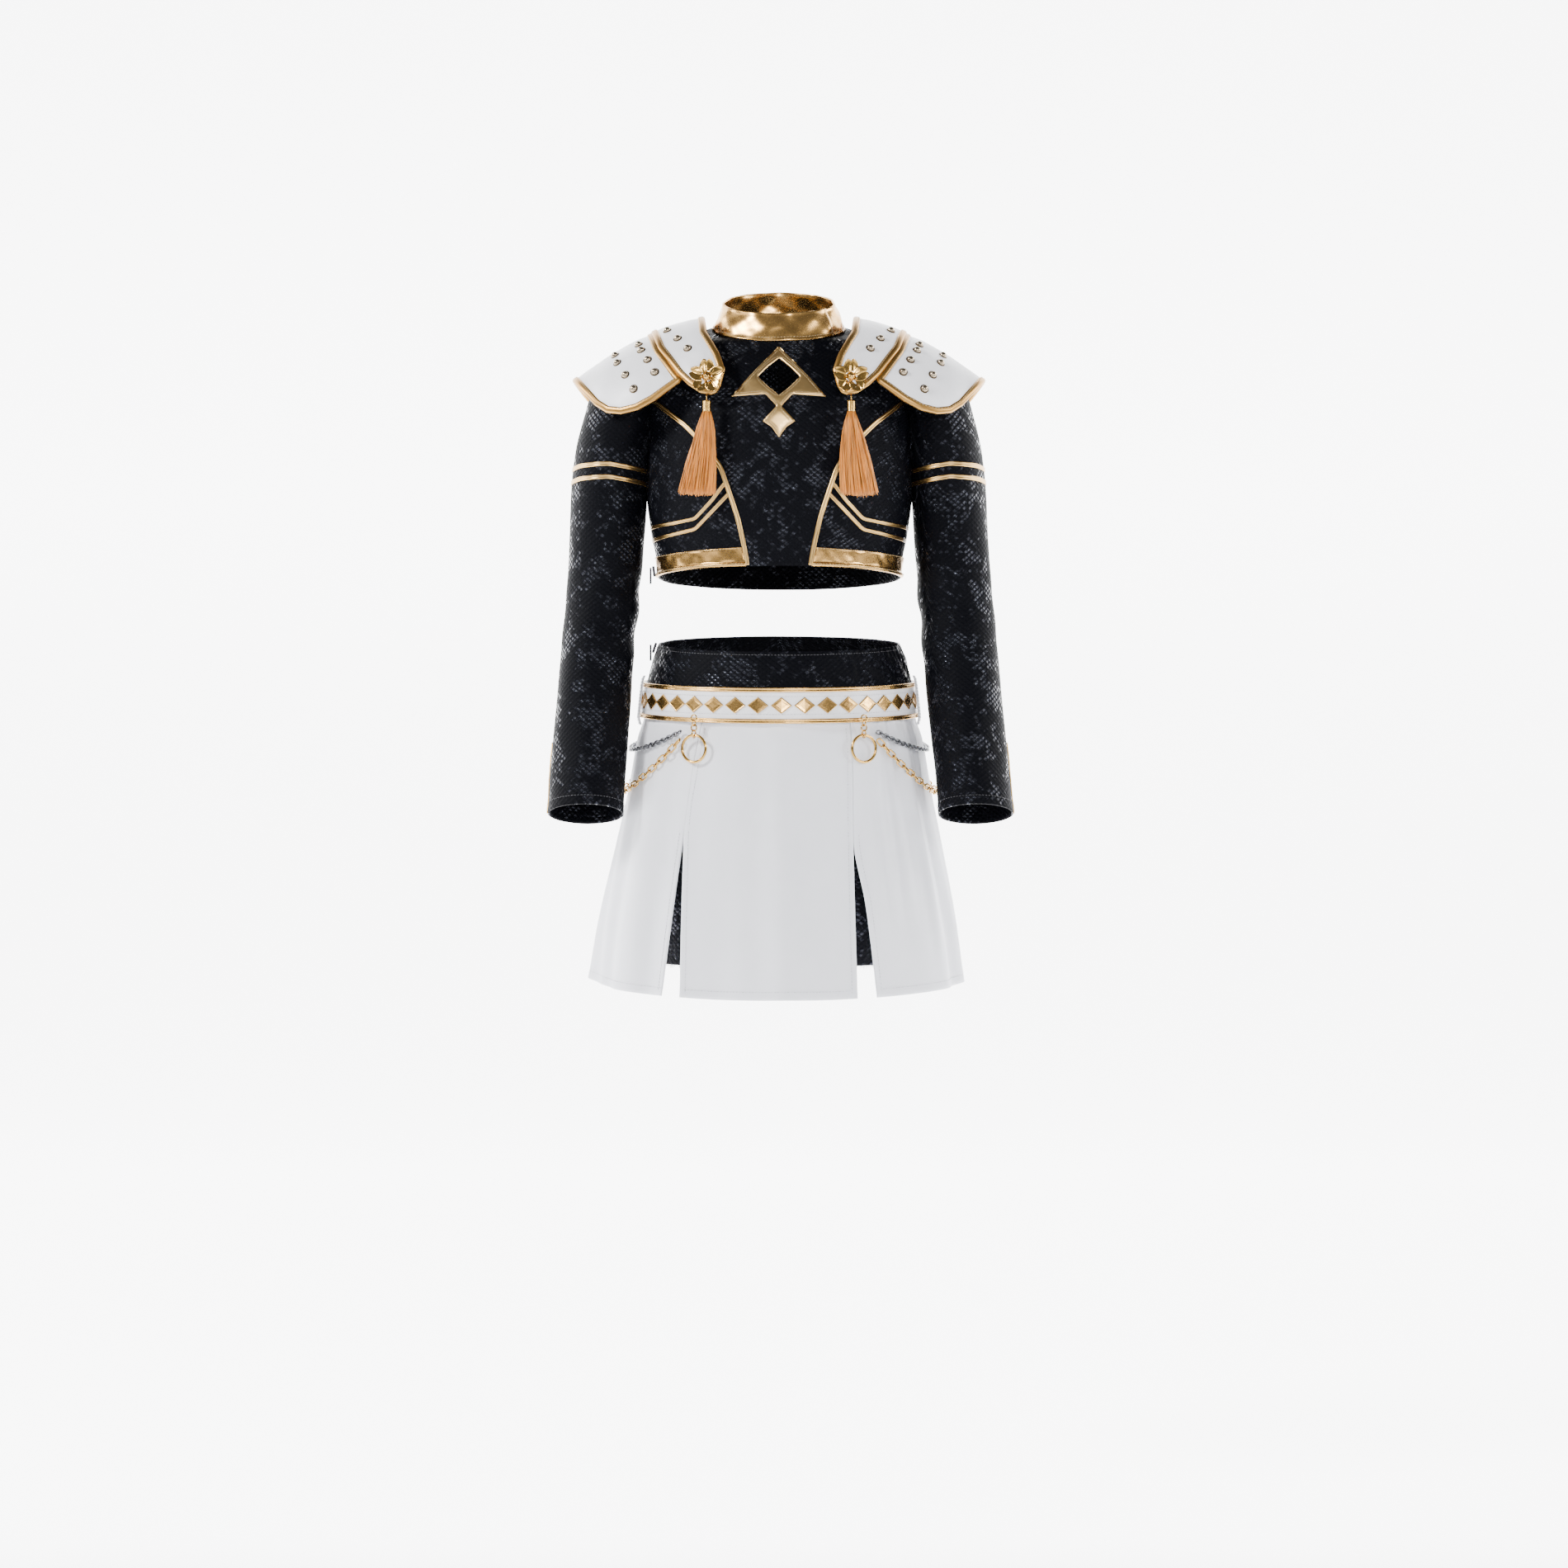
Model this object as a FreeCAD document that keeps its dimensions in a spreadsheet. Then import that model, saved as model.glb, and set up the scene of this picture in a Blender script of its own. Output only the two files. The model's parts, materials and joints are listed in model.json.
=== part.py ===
"""Child's cheer uniform (height 120 cm size): a long-sleeved cropped top and a belted skirt
with shorts sewn inside, both in the shape they take when worn.

+Z is up, -Y is the wearer's front and +X the wearer's left. The origin is the middle of the
wearer's waist, level with the top of the skirt's waistband at the sides. All sizes are in mm.
"""
import FreeCAD, Part
import math
import os
from FreeCAD import Placement, Rotation, Vector

AXIS_X = Vector(1, 0, 0)
AXIS_Y = Vector(0, 1, 0)
AXIS_Z = Vector(0, 0, 1)
FRONT = Vector(0, -1, 0)
LEFT, RIGHT = 1, -1
SIDE_NAME = {LEFT: "left", RIGHT: "right"}

DRIVING = {
    "cloth": 2.0,            # wall of the fabric shells
    "trim": 1.2,             # gold trims lying on the fabric
    "clearance": 1.6,        # trim plus the gap kept by a moving sleeve
    "belt_wall": 2.5,
    "plate_wall": 3.5,       # padded shoulder plates
    "binding_width": 5.0,
    "piping_width": 4.2,
    "sleeve_split": 165.0,   # height where the arm folds away from the shoulder
    "flap_top": -168.0,      # height of the slits' upper ends
    "joint_gap": 0.4,
    "cuff_reach_left": 168.5,
    "cuff_reach_right": 165.5,
    "stud_radius": 3.6,
    "flower_radius": 13.0,
    "tassel_length": 71.0,
    "tassel_width": 34.0,
    "ring_radius": 11.4,     # O-rings, middle of the wire
    "ring_wire": 1.2,
    "gold_link": 10.0,
    "gold_link_width": 5.8,
    "gold_wire": 1.4,
    "gunmetal_link": 6.6,
    "gunmetal_link_width": 5.0,
    "gunmetal_wire": 1.3,
    "zip_width": 7.0,
    "zip_length": 9.0,
    "zip_wall": 2.0,
    "pull_length": 14.0,
    "diamond_width": 17.0,
    "diamond_height": 13.4,
    "diamond_count": 38,
}

# Level rings round the body, from the bottom up or from the top down. Each is
# height, half width, half depth, tilt (plus = front lower) and how far its height follows
# a change of thickness (1 over the shoulders, where the cloth lies nearly flat).
PROFILES = {
    "torso": [(57, 105.5, 78, -4.4, 0), (75, 107.5, 79, -3, 0), (95, 111.5, 81, 0, 0),
              (140, 116.5, 83, 0, 0), (190, 117.5, 81, 1, 0), (225, 117, 71, 3, 0.3),
              (247, 112, 58, 6, 0.7), (260, 96, 51, 11, 1), (269, 75, 49, 15, 1),
              (273, 57, 49, 18, 1)],
    "collar": [(273, 57.5, 49.5, 18, 0), (284, 53.5, 47.5, 18, 0), (297, 48, 43.5, 20, 0)],
    "waistband": [(0, 105, 82, 7, 0), (-15, 110.5, 86, 6, 0), (-34, 115, 90, 5, 0)],
    "belt": [(-33, 118, 93, 5, 0), (-48, 119.7, 95, 5, 0), (-63, 121.3, 97, 5, 0)],
    "skirt": [(-34, 115, 90, 5, 0), (-63, 118, 94, 5, 0), (-82, 124, 98, 5, 0),
              (-130, 132.5, 104, 5, 0), (-170, 141, 109, 5, 0), (-245, 156, 118, 5.5, 0),
              (-291, 162, 123, 6, 0)],
    "hips": [(-31, 111.5, 87, 5, 0), (-90, 113, 90, 3, 0), (-145, 117, 93, 0, 0),
             (-180, 115, 90, 0, 1), (-196, 104, 78, 0, 1)],
}

STRAIGHT_PROFILES = ("torso", "hips")

# Rings of a sleeve: middle (outward, forward, height), lean of the arm, half width and
# half depth. The upper ones round off the shoulder inside the bodice.
SLEEVE = [(116, 0, 254, 0, 14, 28), (125, 0, 240, 0, 26, 36), (131, 0, 225, 0, 30, 40),
          (137, 0, 200, 0, 32, 42), (144, 0, 165, 0, 33.5, 41), (148, 0, 130, 0, 33, 37),
          (149.5, 0, 98, 0, 32.8, 34), (152, -1, 57, -2, 32.4, 32.8),
          (159.5, -18, -30, -10, 32, 32.3)]
CUFF = (-52, -148, -16, 32, 32.3)

# Rings of the shoulder plates, upright and square to the shoulder line:
# distance from the middle, height of the top line, half depth.
PLATE_RINGS = [(34, 289, 84), (60, 283, 84), (90, 275.5, 76), (118, 265.5, 71), (145, 251, 60),
               (166, 237, 45), (182, 227, 36)]
PLATE_CENTRE = 190

# Short leg rings of the shorts: distance from the middle, height, half width, half depth.
LEG_RINGS = [(57, -140, 50, 78), (57, -200, 50, 72), (59, -278, 48, 66)]


def mirror_points(points, side):
    return [(side * across, height) for across, height in points]


# Outlines seen from the front: distance from the middle (plus for either side) and height.
PRINCESS_SEAM = [(126, 221), (99, 200), (80, 184), (63, 166), (49.5, 147), (42, 125), (35, 104),
                 (30, 82), (27, 66), (25, 40)]
UPPER_CHEVRON = [(118, 99), (92, 101), (71.5, 104), (57, 119), (43, 137)]
LOWER_CHEVRON = [(118, 87.5), (92, 91.5), (71.5, 95), (57.5, 109), (39, 128)]
HEM_BAND = [(125, 74), (29, 78), (24, 40), (125, 40)]
SLEEVE_BAND = [(190, 149), (172, 152.5), (147, 153.5), (118, 149), (100, 145)]
KEYHOLE = [[(0, 241.7), (9.5, 233.5), (17.8, 224.6)], [(17.8, 224.6), (9.5, 215.8), (0, 207.9)],
           [(0, 207.9), (-9.5, 215.8), (-17.8, 224.6)],
           [(-17.8, 224.6), (-9.5, 233.5), (0, 241.7)]]
HALF_MOTIF = [[(0, 253), (27.6, 222.5), (40.3, 207.3)], [(40.3, 207.3), (11.5, 208.8)],
              [(11.5, 208.8), (2.2, 198.5)], [(2.2, 198.5), (14, 185.6)],
              [(14, 185.6), (6.5, 180.5), (0, 171.5)]]
MOTIF = HALF_MOTIF + [mirror_points(run, -1) for run in HALF_MOTIF]
INNER_PLATE = [[(68, 300), (63, 264), (51.5, 243), (46.8, 229), (50.5, 215)],
               [(50.5, 215), (58, 208.3), (66, 210), (76, 217)],
               [(76, 217), (85, 226), (102, 249.5), (122, 300)],
               [(122, 300), (95, 300), (68, 300)]]
OUTER_PLATE = [[(83.5, 221.5), (107, 204.3), (121, 197), (135, 194.2)],
               [(135, 194.2), (147, 196), (157, 203), (171, 219), (179, 229)],
               [(179, 229), (183, 300)], [(183, 300), (124.2, 300)],
               [(124.2, 300), (104.2, 248.6), (86.6, 224.6)], [(86.6, 224.6), (83.5, 221.5)]]
BOUND_RUNS = 3  # how many runs of each plate's outline, from the first, carry the binding
STUDS = [(141.5, 247.5), (139, 239.5), (131.5, 227.5), (124, 214.5), (121, 256), (118.5, 250),
         (112.5, 240.5), (106, 229), (96.5, 268.5), (87, 259.5), (78, 249.5)]
FLOWER = (61.2, 223)
TASSEL_FORWARD, TASSEL_LEAN = -85, 1
FRONT_PANEL = [(-63, 0), (-65.5, -66), (-70, -90), (-81, -167), (-83.5, -330), (66.2, -330),
               (63.2, -168), (62.5, -96), (60, -66), (58, 0)]
SLIT_ZONE = [(-63, 0), (-65.5, -66), (-70, -90), (-81, -167), (-88, -220), (-101, -330),
             (88, -330), (74, -225), (63.2, -168), (62.5, -96), (60, -66), (58, 0)]
BELT_LOOP_ANGLE = 80
JUNCTION, RING_TURN = (72, -86, -80), 28
# The chains run round each hip between these angles from the front, clear of the O-ring.
CHAIN_SPAN = (41, 141)
CHAIN_RING = (124, 98)
SKIRT_FLARE_TOP, SKIRT_FLARE = -82, (0.19, 0.133)
# Height at the front and at the back, drop between them, and distance from the skirt's top.
GOLD_ROUTE = (-85, -77, 48, 4.2)
GUNMETAL_ROUTE = (-78, -70, 17, 3.6)
LINK_ROLL = (45, -45)
# Middle of the slider's inner face, lean of the slider, and gap behind its pull.
TOP_ZIP = ((-108.1, 0, 63), -8, 1.1)
SKIRT_ZIP = ((-107.6, 0, -4), 18, 1.6)
PULL_WALL = 1.6


doc = FreeCAD.newDocument("CheerUniform")
sheet = doc.addObject("Spreadsheet::Sheet", "Sizes")
sub_parts = {}


def write_sheet():
    """Put the driving sizes and the ring tables in the sheet, one alias for each."""
    values = dict(DRIVING)
    for name, rings in PROFILES.items():
        for number, (height, width, depth, tilt, _) in enumerate(rings):
            values[f"{name}_height_{number}"] = height
            values[f"{name}_width_{number}"] = width
            values[f"{name}_depth_{number}"] = depth
            values[f"{name}_tilt_{number}"] = tilt
    for row, (alias, value) in enumerate(values.items(), 1):
        sheet.set(f"A{row}", alias)
        sheet.set(f"B{row}", str(value))
        sheet.setAlias(f"B{row}", alias)
    doc.recompute()


def size(alias):
    return float(getattr(sheet, alias))


def side_value(name, side):
    return size(f"{name}_{SIDE_NAME[side]}")


def add(kind, name, **properties):
    thing = doc.addObject(kind, name)
    for key, value in properties.items():
        setattr(thing, key, value)
    return thing


def publish(name, thing):
    """Name a finished sub-part; its label is its node's name and its file's name."""
    thing.Label = name
    sub_parts[name] = thing
    return thing


def loft(name, rings, straight=False):
    """Solid through rings, with straight sides from ring to ring if asked."""
    return add("Part::Loft", name, Sections=rings, Solid=True, Ruled=straight, Closed=False)


def body_loft(name, profile, grow="0", reach=0):
    """Solid through a profile's rings, thicker by grow, and longer at both ends by reach."""
    last = len(PROFILES[profile]) - 1
    upward = 1 if PROFILES[profile][last][0] > PROFILES[profile][0][0] else -1
    stations = [(number, 0) for number in range(last + 1)]
    if reach:
        stations = [(0, -reach * upward)] + stations + [(last, reach * upward)]
    rings = []
    for place, (number, shift) in enumerate(stations):
        height, _, _, tilt, follow = PROFILES[profile][number]
        cells = f"Sizes.{profile}"
        ring = add("Part::Ellipse", f"{name}_ring_{place}")
        ring.Placement = Placement(Vector(0, 0, height), Rotation(AXIS_X, tilt))
        ring.setExpression("MajorRadius", f"{cells}_width_{number} + {grow}")
        ring.setExpression("MinorRadius", f"{cells}_depth_{number} + {grow}")
        ring.setExpression("Placement.Base.z",
                           f"{cells}_height_{number} + {follow} * ({grow}) + ({shift})")
        rings.append(ring)
    return loft(name, rings, straight=profile in STRAIGHT_PROFILES)


def cut(name, base, tool):
    return add("Part::Cut", name, Base=base, Tool=tool)


def common(name, base, tool):
    return add("Part::Common", name, Base=base, Tool=tool)


def fuse(name, pieces):
    return add("Part::MultiFuse", name, Shapes=pieces)


def group(name, pieces):
    return add("Part::Compound", name, Links=pieces)


def block(name, low, high):
    """Box between two corners, used to keep one region of a shell."""
    box = add("Part::Box", name, Length=high[0] - low[0], Width=high[1] - low[1],
              Height=high[2] - low[2])
    box.Placement = Placement(Vector(*low), Rotation())
    return box


def outline(name, runs):
    """Sketch in the XZ plane: each run of two points is a line, of more a smooth curve."""
    sketch = add("Sketcher::SketchObject", name)
    sketch.Placement = Placement(Vector(), Rotation(AXIS_X, 90))
    for run in runs:
        points = [Vector(across, height, 0) for across, height in run]
        if len(points) == 2:
            sketch.addGeometry(Part.LineSegment(*points))
        else:
            curve = Part.BSplineCurve()
            curve.interpolate(points)
            sketch.addGeometry(curve)
    return sketch


def polygon(name, points):
    runs = [[start, end] for start, end in zip(points, points[1:] + points[:1])]
    return outline(name, runs)


def forward_prism(name, sketch, back=0):
    """Outline carried forward from the middle plane, and back behind it if asked."""
    return add("Part::Extrusion", name, Base=sketch, DirMode="Custom", Dir=FRONT,
               LengthFwd=260, LengthRev=back, Solid=True)


def ribbon_outline(name, path, width, shift=0):
    """Band of the given width along a path of points, its middle moved to the path's left."""
    upper, lower = [], []
    for number, (across, height) in enumerate(path):
        before = path[max(number - 1, 0)]
        after = path[min(number + 1, len(path) - 1)]
        run, rise = after[0] - before[0], after[1] - before[1]
        span = math.hypot(run, rise)
        left, right = shift + width / 2, shift - width / 2
        upper.append((across - rise / span * left, height + run / span * left))
        lower.append((across - rise / span * right, height + run / span * right))
    return outline(name, [upper, [upper[-1], lower[-1]], lower[::-1], [lower[0], upper[0]]])


def front_of(thing, across, height):
    """Forward-most point of a solid on a fore-and-aft line."""
    line = Part.makeLine(Vector(across, -300, height), Vector(across, 0, height))
    return min(vertex.Y for vertex in line.common(thing.Shape).Vertexes)


# ---------------------------------------------------------------- cropped top

def make_bodice():
    """Front panel between the princess seams, side fronts, and back, with open armholes."""
    torso = body_loft("torso_skin", "torso")
    hollow = body_loft("torso_hollow", "torso", "(-Sizes.cloth)", reach=8)
    shell = cut("bodice_shell", torso, hollow)
    armholes = fuse("armholes", [sleeve_loft(f"armhole_{SIDE_NAME[side]}", side,
                                             "(-Sizes.cloth)") for side in (LEFT, RIGHT)])
    shell = cut("bodice_open", shell, armholes)
    front = common("bodice_front_half", shell, block("front_half", (-200, -200, 0),
                                                     (200, 0, 400)))
    back = common("bodice_back", shell, block("back_half", (-200, 0, 0), (200, 200, 400)))
    publish("bodice_back", back)
    left_seam, right_seam = mirror_points(PRINCESS_SEAM, LEFT), mirror_points(PRINCESS_SEAM, RIGHT)
    top_left, top_right = (left_seam[0][0], 320), (right_seam[0][0], 320)
    centre_outline = outline("centre_outline", [
        right_seam, [right_seam[-1], left_seam[-1]], left_seam[::-1],
        [left_seam[0], top_left], [top_left, top_right], [top_right, right_seam[0]]])
    centre = forward_prism("centre_prism", centre_outline)
    centre_panel = common("bodice_centre", front, centre)
    keyhole = forward_prism("keyhole_prism", outline("keyhole_outline", KEYHOLE))
    publish("bodice_front_panel", cut("bodice_front_panel", centre_panel, keyhole))
    sides = cut("bodice_sides", front, centre)
    for side in (LEFT, RIGHT):
        low, high = sorted((0, side * 200))
        half = block(f"side_front_half_{SIDE_NAME[side]}", (low, -200, 0), (high, 0, 400))
        name = f"bodice_side_front_{SIDE_NAME[side]}"
        publish(name, common(name, sides, half))
    return torso


def sleeve_loft(name, side, grow="0"):
    """Solid of one arm from the shoulder, inside the bodice, to the cuff."""
    rings = []
    cuff = (side_value("cuff_reach", side),) + CUFF
    for number, (across, forward, height, lean, width, depth) in enumerate(SLEEVE + [cuff]):
        ring = add("Part::Ellipse", f"{name}_ring_{number}")
        ring.Placement = Placement(Vector(side * across, forward, height),
                                   Rotation(AXIS_X, lean) * Rotation(AXIS_Z, 90))
        ring.setExpression("MajorRadius", f"{depth} + {grow}")
        ring.setExpression("MinorRadius", f"{width} + {grow}")
        rings.append(ring)
    return loft(name, rings, straight=True)


def make_sleeves(torso):
    """Each sleeve is a cap fixed round the shoulder and a tube that rises with the arm."""
    clear = body_loft("torso_clear", "torso", "Sizes.clearance")
    split, gap = size("sleeve_split"), size("joint_gap")
    for side in (LEFT, RIGHT):
        hand = SIDE_NAME[side]
        skin = sleeve_loft(f"sleeve_skin_{hand}", side)
        hollow = sleeve_loft(f"sleeve_hollow_{hand}", side, "(-Sizes.cloth)")
        shell = cut(f"sleeve_shell_{hand}", skin, hollow)
        above = block(f"above_split_{hand}", (-300, -200, split + gap), (300, 200, 400))
        below = block(f"below_split_{hand}", (-300, -200, -200), (300, 200, split))
        cap = cut(f"sleeve_cap_{hand}", common(f"cap_half_{hand}", shell, above), torso)
        publish(f"sleeve_cap_{hand}", cap)
        tube = cut(f"sleeve_{hand}", common(f"tube_half_{hand}", shell, below), clear)
        publish(f"sleeve_{hand}", tube)
        make_sleeve_trims(side, skin)


def make_sleeve_trims(side, skin):
    """Two gold bands round the upper arm and a cord of gold on the seam at the wrist."""
    hand = SIDE_NAME[side]
    padded = sleeve_loft(f"sleeve_padded_{hand}", side, "Sizes.trim")
    layer = cut(f"sleeve_layer_{hand}", padded, skin)
    bands = []
    for level in (0, 1):
        path = [(side * across, height - 11 * level) for across, height in SLEEVE_BAND]
        shape = ribbon_outline(f"band_outline_{hand}_{level}", path, size("piping_width"))
        prism = forward_prism(f"band_prism_{hand}_{level}", shape, back=100)
        bands.append(common(f"band_{hand}_{level}", layer, prism))
    clear = doc.getObject("torso_clear")
    both = cut(f"sleeve_bands_{hand}", group(f"bands_{hand}", bands), clear)
    publish(f"sleeve_bands_{hand}", both)
    low, high = sorted((side * 150, side * 260))
    strip = block(f"wrist_strip_{hand}", (low, -49, -200), (high, -45, -84))
    publish(f"cuff_piping_{hand}", common(f"cuff_piping_{hand}", layer, strip))


def make_collar():
    """Stand-up collar, open at the neck."""
    outer = body_loft("collar_skin", "collar")
    inner = body_loft("collar_hollow", "collar", "(-Sizes.cloth)", reach=6)
    publish("collar", cut("collar", outer, inner))


def make_bodice_trims(torso):
    """Gold pieces sewn on the bodice's front: pipings, chevrons, hem bands and motif."""
    layer = cut("torso_layer", body_loft("torso_padded", "torso", "Sizes.trim"), torso)
    width = size("piping_width")
    for side in (LEFT, RIGHT):
        hand = SIDE_NAME[side]
        seam = mirror_points(PRINCESS_SEAM[1:], side)
        prism = forward_prism(f"princess_prism_{hand}",
                              ribbon_outline(f"princess_outline_{hand}", seam, width))
        princess = publish(f"princess_piping_{hand}",
                           common(f"princess_piping_{hand}", layer, prism))
        chevrons = []
        for level, path in enumerate((UPPER_CHEVRON, LOWER_CHEVRON)):
            shape = ribbon_outline(f"chevron_outline_{hand}_{level}",
                                   mirror_points(path, side), width - 1)
            strip = forward_prism(f"chevron_prism_{hand}_{level}", shape)
            chevrons.append(common(f"chevron_{hand}_{level}", layer, strip))
        publish(f"chevrons_{hand}", cut(f"chevrons_{hand}",
                                        group(f"chevron_pair_{hand}", chevrons), princess))
        zone = polygon(f"hem_band_outline_{hand}", mirror_points(HEM_BAND, side))
        band = common(f"hem_band_whole_{hand}", layer, forward_prism(f"hem_prism_{hand}", zone))
        publish(f"hem_band_{hand}", cut(f"hem_band_{hand}", band, princess))
    motif = forward_prism("motif_prism", outline("motif_outline", MOTIF + KEYHOLE))
    publish("chest_motif", common("chest_motif", layer, motif))


def plate_loft(name, side, grow="0"):
    """Solid under the shoulder plates, lofted outward along the shoulder."""
    rings = []
    for number, (across, top, depth) in enumerate(PLATE_RINGS):
        ring = add("Part::Ellipse", f"{name}_ring_{number}")
        ring.Placement = Placement(Vector(side * across, 0, PLATE_CENTRE), Rotation(AXIS_Y, -90))
        ring.setExpression("MajorRadius", f"{top - PLATE_CENTRE} + {grow}")
        ring.setExpression("MinorRadius", f"{min(depth, top - PLATE_CENTRE)} + {grow}")
        rings.append(ring)
    return loft(name, rings, straight=True)


def plate_outline(name, shape, side):
    return outline(name, [mirror_points(run, side) for run in shape])


def make_shoulder_plates(torso):
    """Two padded plates with gold bindings over each shoulder, set with domed studs."""
    width = size("binding_width")
    for side in (LEFT, RIGHT):
        hand = SIDE_NAME[side]
        under = plate_loft(f"plate_under_{hand}", side, "(-Sizes.plate_wall)")
        skin = plate_loft(f"plate_skin_{hand}", side)
        above = plate_loft(f"plate_above_{hand}", side, "Sizes.trim")
        shell = cut(f"plate_shell_{hand}", skin, under)
        layer = cut(f"plate_layer_{hand}", above, skin)
        bindings = []
        for place, shape in (("inner", INNER_PLATE), ("outer", OUTER_PLATE)):
            edge = plate_outline(f"{place}_outline_{hand}", shape, side)
            prism = forward_prism(f"{place}_prism_{hand}", edge, back=200)
            name = f"shoulder_plate_{place}_{hand}"
            whole = common(f"{place}_whole_{hand}", shell, prism)
            publish(name, cut(name, whole, torso) if place == "inner" else whole)
            path = [point for run in shape[:BOUND_RUNS] for point in mirror_points(run, side)]
            path = [point for point, after in zip(path, path[1:] + [None]) if point != after]
            band = ribbon_outline(f"{place}_edge_{hand}", path, width, side * width / 2)
            strip = forward_prism(f"{place}_strip_{hand}", band, back=200)
            bindings.append(common(f"{place}_binding_{hand}", layer, strip))
        publish(f"plate_bindings_{hand}", group(f"plate_bindings_{hand}", bindings))
        doc.recompute()
        make_studs(side, skin)
        make_flower(side, above, torso)


def make_studs(side, skin):
    """Domed studs, each a shallow cap sitting on the plate."""
    hand = SIDE_NAME[side]
    domes = []
    for number, (across, height) in enumerate(STUDS):
        dome = add("Part::Sphere", f"stud_{hand}_{number}")
        dome.setExpression("Radius", "Sizes.stud_radius")
        depth = front_of(skin, side * across, height)
        dome.Placement = Placement(Vector(side * across, depth + 1, height), Rotation())
        domes.append(dome)
    publish(f"studs_{hand}", cut(f"studs_{hand}", group(f"domes_{hand}", domes), skin))


def make_flower(side, skin, torso):
    """Brooch of five petals round a bead."""
    hand = SIDE_NAME[side]
    radius = size("flower_radius")
    across, height = side * FLOWER[0], FLOWER[1]
    depth = min(front_of(skin, across + shift, height + radius / 2) for shift in (-7, 0, 7)) - 3
    petals = []
    for number in range(5):
        angle = math.radians(90 + 72 * number)
        petal = add("Part::Ellipsoid", f"petal_{hand}_{number}", Radius1=1.8)
        petal.setExpression("Radius2", "Sizes.flower_radius * 0.5")
        petal.setExpression("Radius3", "Sizes.flower_radius * 0.44")
        place = Vector(across + 0.52 * radius * math.cos(angle), depth,
                       height + 0.52 * radius * math.sin(angle))
        petal.Placement = Placement(place, Rotation(AXIS_Y, -math.degrees(angle))
                                    * Rotation(AXIS_X, 90))
        petals.append(petal)
    heart = add("Part::Sphere", f"bead_{hand}")
    heart.setExpression("Radius", "Sizes.flower_radius * 0.24")
    heart.Placement = Placement(Vector(across, depth - 2, height), Rotation())
    whole = cut(f"flower_clear_{hand}", fuse(f"flower_whole_{hand}", petals + [heart]), skin)
    publish(f"flower_{hand}", cut(f"flower_{hand}", whole, torso))


def make_tassels():
    """Wrapped cap and thread fringe under each brooch, hung on a small loop along the chest."""
    length = size("tassel_length")
    lean = Rotation(AXIS_X, -TASSEL_LEAN)
    for side in (LEFT, RIGHT):
        hand = SIDE_NAME[side]
        hook = Vector(side * FLOWER[0], TASSEL_FORWARD, FLOWER[1] - 15.3)

        def hang(drop, turn=Rotation()):
            return Placement(hook + lean.multVec(Vector(0, 0, -drop)), lean * turn)

        loop = add("Part::Torus", f"tassel_loop_{hand}", Radius1=2.2, Radius2=0.7)
        loop.Placement = hang(2.9, Rotation(AXIS_Y, 90))
        cap = add("Part::Cylinder", f"tassel_barrel_{hand}", Radius=3.8, Height=9)
        cap.Placement = hang(14.4)
        publish(f"tassel_cap_{hand}", fuse(f"tassel_cap_{hand}", [loop, cap]))
        rings = []
        for number, (share, drop) in enumerate(((0.21, 0), (0.52, 0.2), (0.8, 0.6), (1, 1))):
            ring = add("Part::Ellipse", f"fringe_{hand}_ring_{number}")
            ring.Placement = hang(14.5 + drop * length)
            ring.setExpression("MajorRadius", f"Sizes.tassel_width / 2 * {share}")
            ring.MinorRadius = 3.3 + 1.5 * drop
            rings.append(ring)
        publish(f"tassel_fringe_{hand}", loft(f"tassel_fringe_{hand}", rings))


def make_zip(name, place, lean, pull_gap):
    """Slider and its hanging pull, on the wearer's right side."""
    wall, width, height = size("zip_wall"), size("zip_width"), size("zip_length")
    spin = Rotation(AXIS_Y, lean)
    body = add("Part::Box", f"{name}_block", Length=wall, Width=width, Height=height)
    corner = spin.multVec(Vector(-wall, -width / 2, -height / 2))
    body.Placement = Placement(Vector(*place) + corner, spin)
    publish(f"{name}_slider", add("Part::Fillet", f"{name}_slider", Base=body,
                                  Edges=[(edge, 0.6, 0.6) for edge in (1, 3, 5, 7)]))
    pull = add("Part::Box", f"{name}_tab", Length=PULL_WALL, Width=width - 2)
    pull.setExpression("Height", "Sizes.pull_length")
    corner = Vector(-wall - pull_gap - PULL_WALL, 1 - width / 2, 3 - size("pull_length"))
    pull.Placement = Placement(Vector(*place) + corner, Rotation())
    publish(f"{name}_pull", add("Part::Fillet", f"{name}_pull", Base=pull,
                                Edges=[(edge, 0.6, 0.6) for edge in (1, 3, 5, 7)]))


# ---------------------------------------------------------------- skirt

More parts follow.
